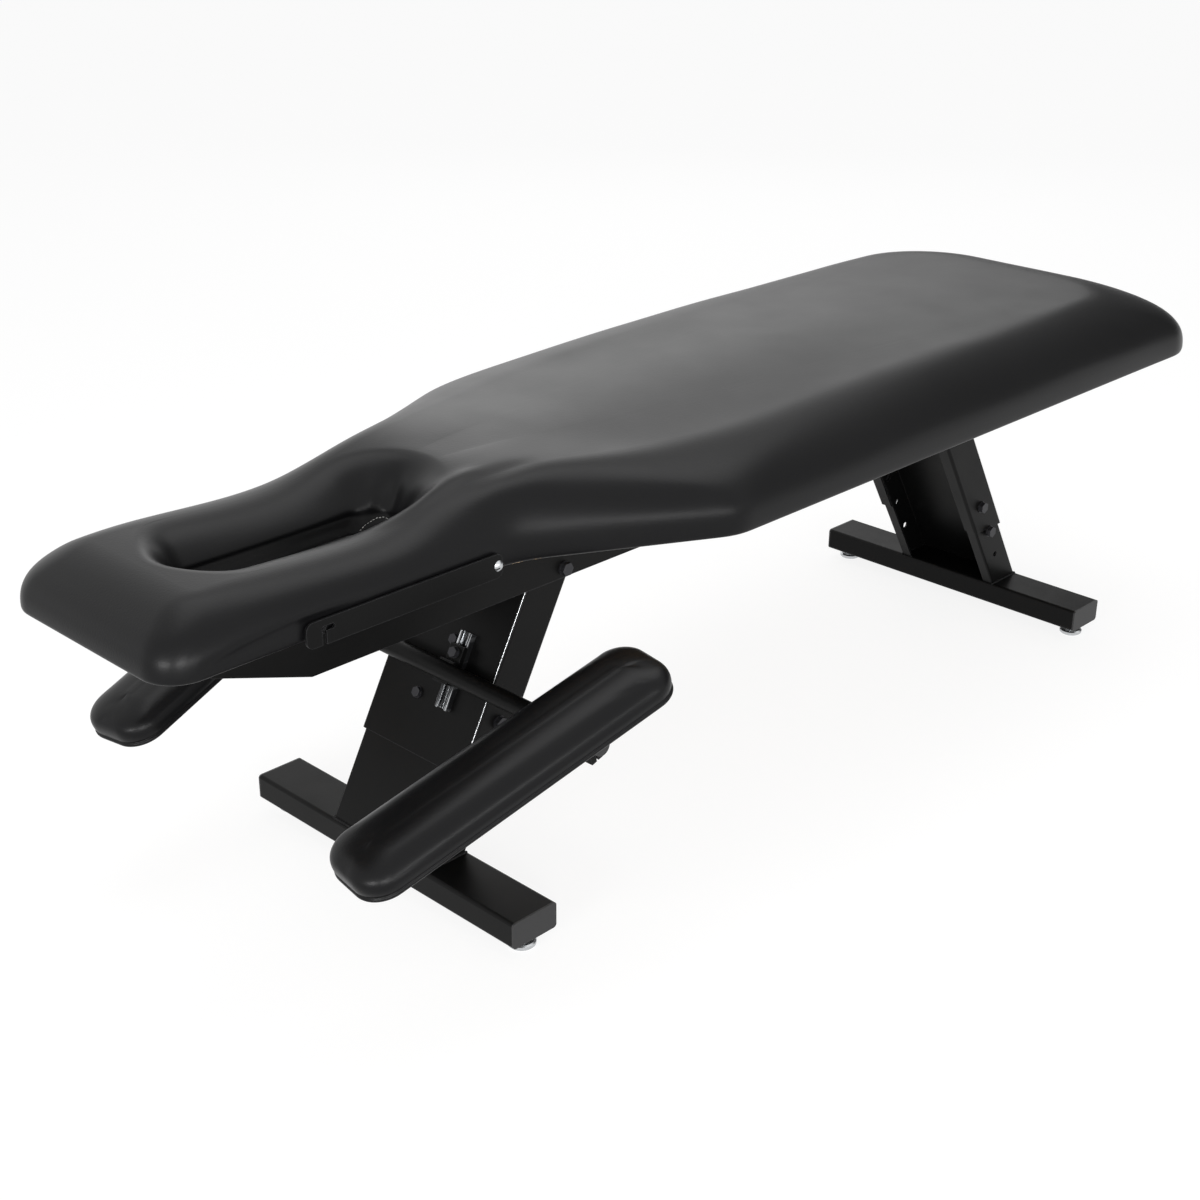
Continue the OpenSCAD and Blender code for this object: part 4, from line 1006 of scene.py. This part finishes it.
class TABLE_OT_stage(bpy.types.Operator):
    """Sets the floor, the light and the camera"""
    bl_idname = "chiro_table.stage"
    bl_label = "Set the stage"

    def execute(self, context):
        s = context.scene.table_stage
        self.make_floor(s)
        self.make_world(context.scene, s)
        self.make_lamps(s)
        self.make_camera(context.scene, s)
        context.scene.view_settings.view_transform = "Standard"
        return {"FINISHED"}

    def make_floor(self, s):
        half = FLOOR_HALF
        floor = mesh_object("floor", [(-half, -half, 0), (half, -half, 0), (half, half, 0), (-half, half, 0)],
                            [(0, 1, 2, 3)], closed=False)
        # Matt pale floor: the camera and the reflections see it almost white, and it keeps a soft shadow.
        made, tree, _ = new_finish("pale_floor", s.floor)
        paint = add_node(tree, "ShaderNodeBsdfPrincipled", {"Base Color": shade(s.floor), "Roughness": 0.9})
        part = add_node(tree, "ShaderNodeMath", {0: seen_rays(tree)[0], 1: FLOOR_GLOW}, operation="MULTIPLY")
        glow = add_node(tree, "ShaderNodeEmission", {"Color": WHITE, "Strength": GLOW_LEVEL})
        both = add_node(tree, "ShaderNodeMixShader", {0: part, 1: paint, 2: glow})
        # Seen from below, the floor is left out
        below = add_node(tree, "ShaderNodeNewGeometry").outputs["Backfacing"]
        clear = add_node(tree, "ShaderNodeBsdfTransparent")
        sided = add_node(tree, "ShaderNodeMixShader", {0: below, 1: both, 2: clear})
        add_node(tree, "ShaderNodeOutputMaterial", {"Surface": sided})
        floor.data.materials.append(made)

    def make_world(self, scene, s):
        world = bpy.data.worlds.new("studio")
        world.use_nodes = True
        tree = world.node_tree
        tree.nodes.clear()
        seen, camera = seen_rays(tree)
        even = add_node(tree, "ShaderNodeBackground", {"Color": WHITE, "Strength": s.world})
        # What is seen is white; what is mirrored darkens beyond the foot end, as a studio's open end does
        way = add_node(tree, "ShaderNodeTexCoord").outputs["Generated"]
        along = add_node(tree, "ShaderNodeSeparateXYZ", {0: way})
        fall = add_node(tree, "ShaderNodeMapRange",
                        {"Value": along, "From Min": DARK_START, "From Max": DARK_END,
                         "To Min": s.mirrored, "To Max": s.dark}, interpolation_type="SMOOTHSTEP")
        level = add_node(tree, "ShaderNodeMix", {0: camera, 2: fall, 3: 1.0})
        white = add_node(tree, "ShaderNodeBackground", {"Color": WHITE, "Strength": level})
        both = add_node(tree, "ShaderNodeMixShader", {0: seen, 1: even, 2: white})
        add_node(tree, "ShaderNodeOutputWorld", {"Surface": both})
        scene.world = world

    def make_lamps(self, s):
        for name, (place, aim, width, height) in LAMPS.items():
            data = bpy.data.lights.new(name, "AREA")
            data.shape, data.size, data.size_y = "RECTANGLE", width, height
            data.energy = getattr(s, name)
            lamp = new_object(name, data)
            lamp.location = place
            lamp.rotation_euler = (Vector(aim) - Vector(place)).to_track_quat("-Z", "Y").to_euler()

    def make_camera(self, scene, s):
        flat = math.cos(s.pitch)
        ahead = Vector((math.sin(s.heading) * flat, math.cos(s.heading) * flat, -math.sin(s.pitch)))
        right = ahead.cross(Vector((0, 0, 1))).normalized()
        up = right.cross(ahead)
        c, t = math.cos(s.roll), math.sin(s.roll)
        rolled_right, rolled_up = c * right + t * up, c * up - t * right
        data = bpy.data.cameras.new("camera")
        data.lens = s.lens
        data.sensor_width = SENSOR_WIDTH
        data.sensor_fit = "HORIZONTAL"
        data.clip_end = CLIP_END
        camera = new_object("camera", data)
        turn = Matrix((rolled_right, rolled_up, -ahead)).transposed().to_4x4()
        camera.matrix_world = Matrix.Translation(Vector(s.place)) @ turn
        scene.camera = camera


class TABLE_PT_panel(bpy.types.Panel):
    """Lists the table's pieces"""
    bl_label = "Chiropractic Table"
    bl_idname = "TABLE_PT_panel"
    bl_space_type = "VIEW_3D"
    bl_region_type = "UI"
    bl_category = "Chiropractic Table"

    def draw(self, context):
        for name, (_, operators) in SECTIONS.items():
            box, settings = self.layout.box(), getattr(context.scene, name)
            for key in settings.bl_rna.properties.keys():
                if key not in ("rna_type", "name"):
                    box.prop(settings, key)
            for operator in operators:
                box.operator(f"chiro_table.{operator}")


# Each group of settings with the operators that its box in the panel shows
SECTIONS = {
    "table_cushion": (CushionSettings, ["cushion", "staples", "stitches"]),
    "table_pads": (PadSettings, ["pads"]),
    "table_trim": (TrimSettings, ["threads", "welds", "wear"]),
    "table_finishes": (FinishSettings, ["finishes"]),
    "table_stage": (StageSettings, ["stage"]),
}
CLASSES = [
    *[settings for settings, _ in SECTIONS.values()], TABLE_OT_cushion, TABLE_OT_pads, TABLE_OT_staples,
    TABLE_OT_stitches, TABLE_OT_welds, TABLE_OT_corner_highlight, TABLE_OT_threads, TABLE_OT_finishes,
    TABLE_OT_stage, TABLE_PT_panel]


def register():
    for cls in CLASSES:
        bpy.utils.register_class(cls)
    for name, (settings, _) in SECTIONS.items():
        setattr(bpy.types.Scene, name, PointerProperty(type=settings))


def unregister():
    for name in SECTIONS:
        delattr(bpy.types.Scene, name)
    for cls in reversed(CLASSES):
        bpy.utils.unregister_class(cls)


def main():
    register()
    table = bpy.ops.chiro_table
    table.finishes()
    table.cushion()
    table.pads()
    table.staples()
    table.stitches()
    table.welds()
    table.wear()
    table.threads()
    table.stage()


if __name__ == "__main__":
    main()
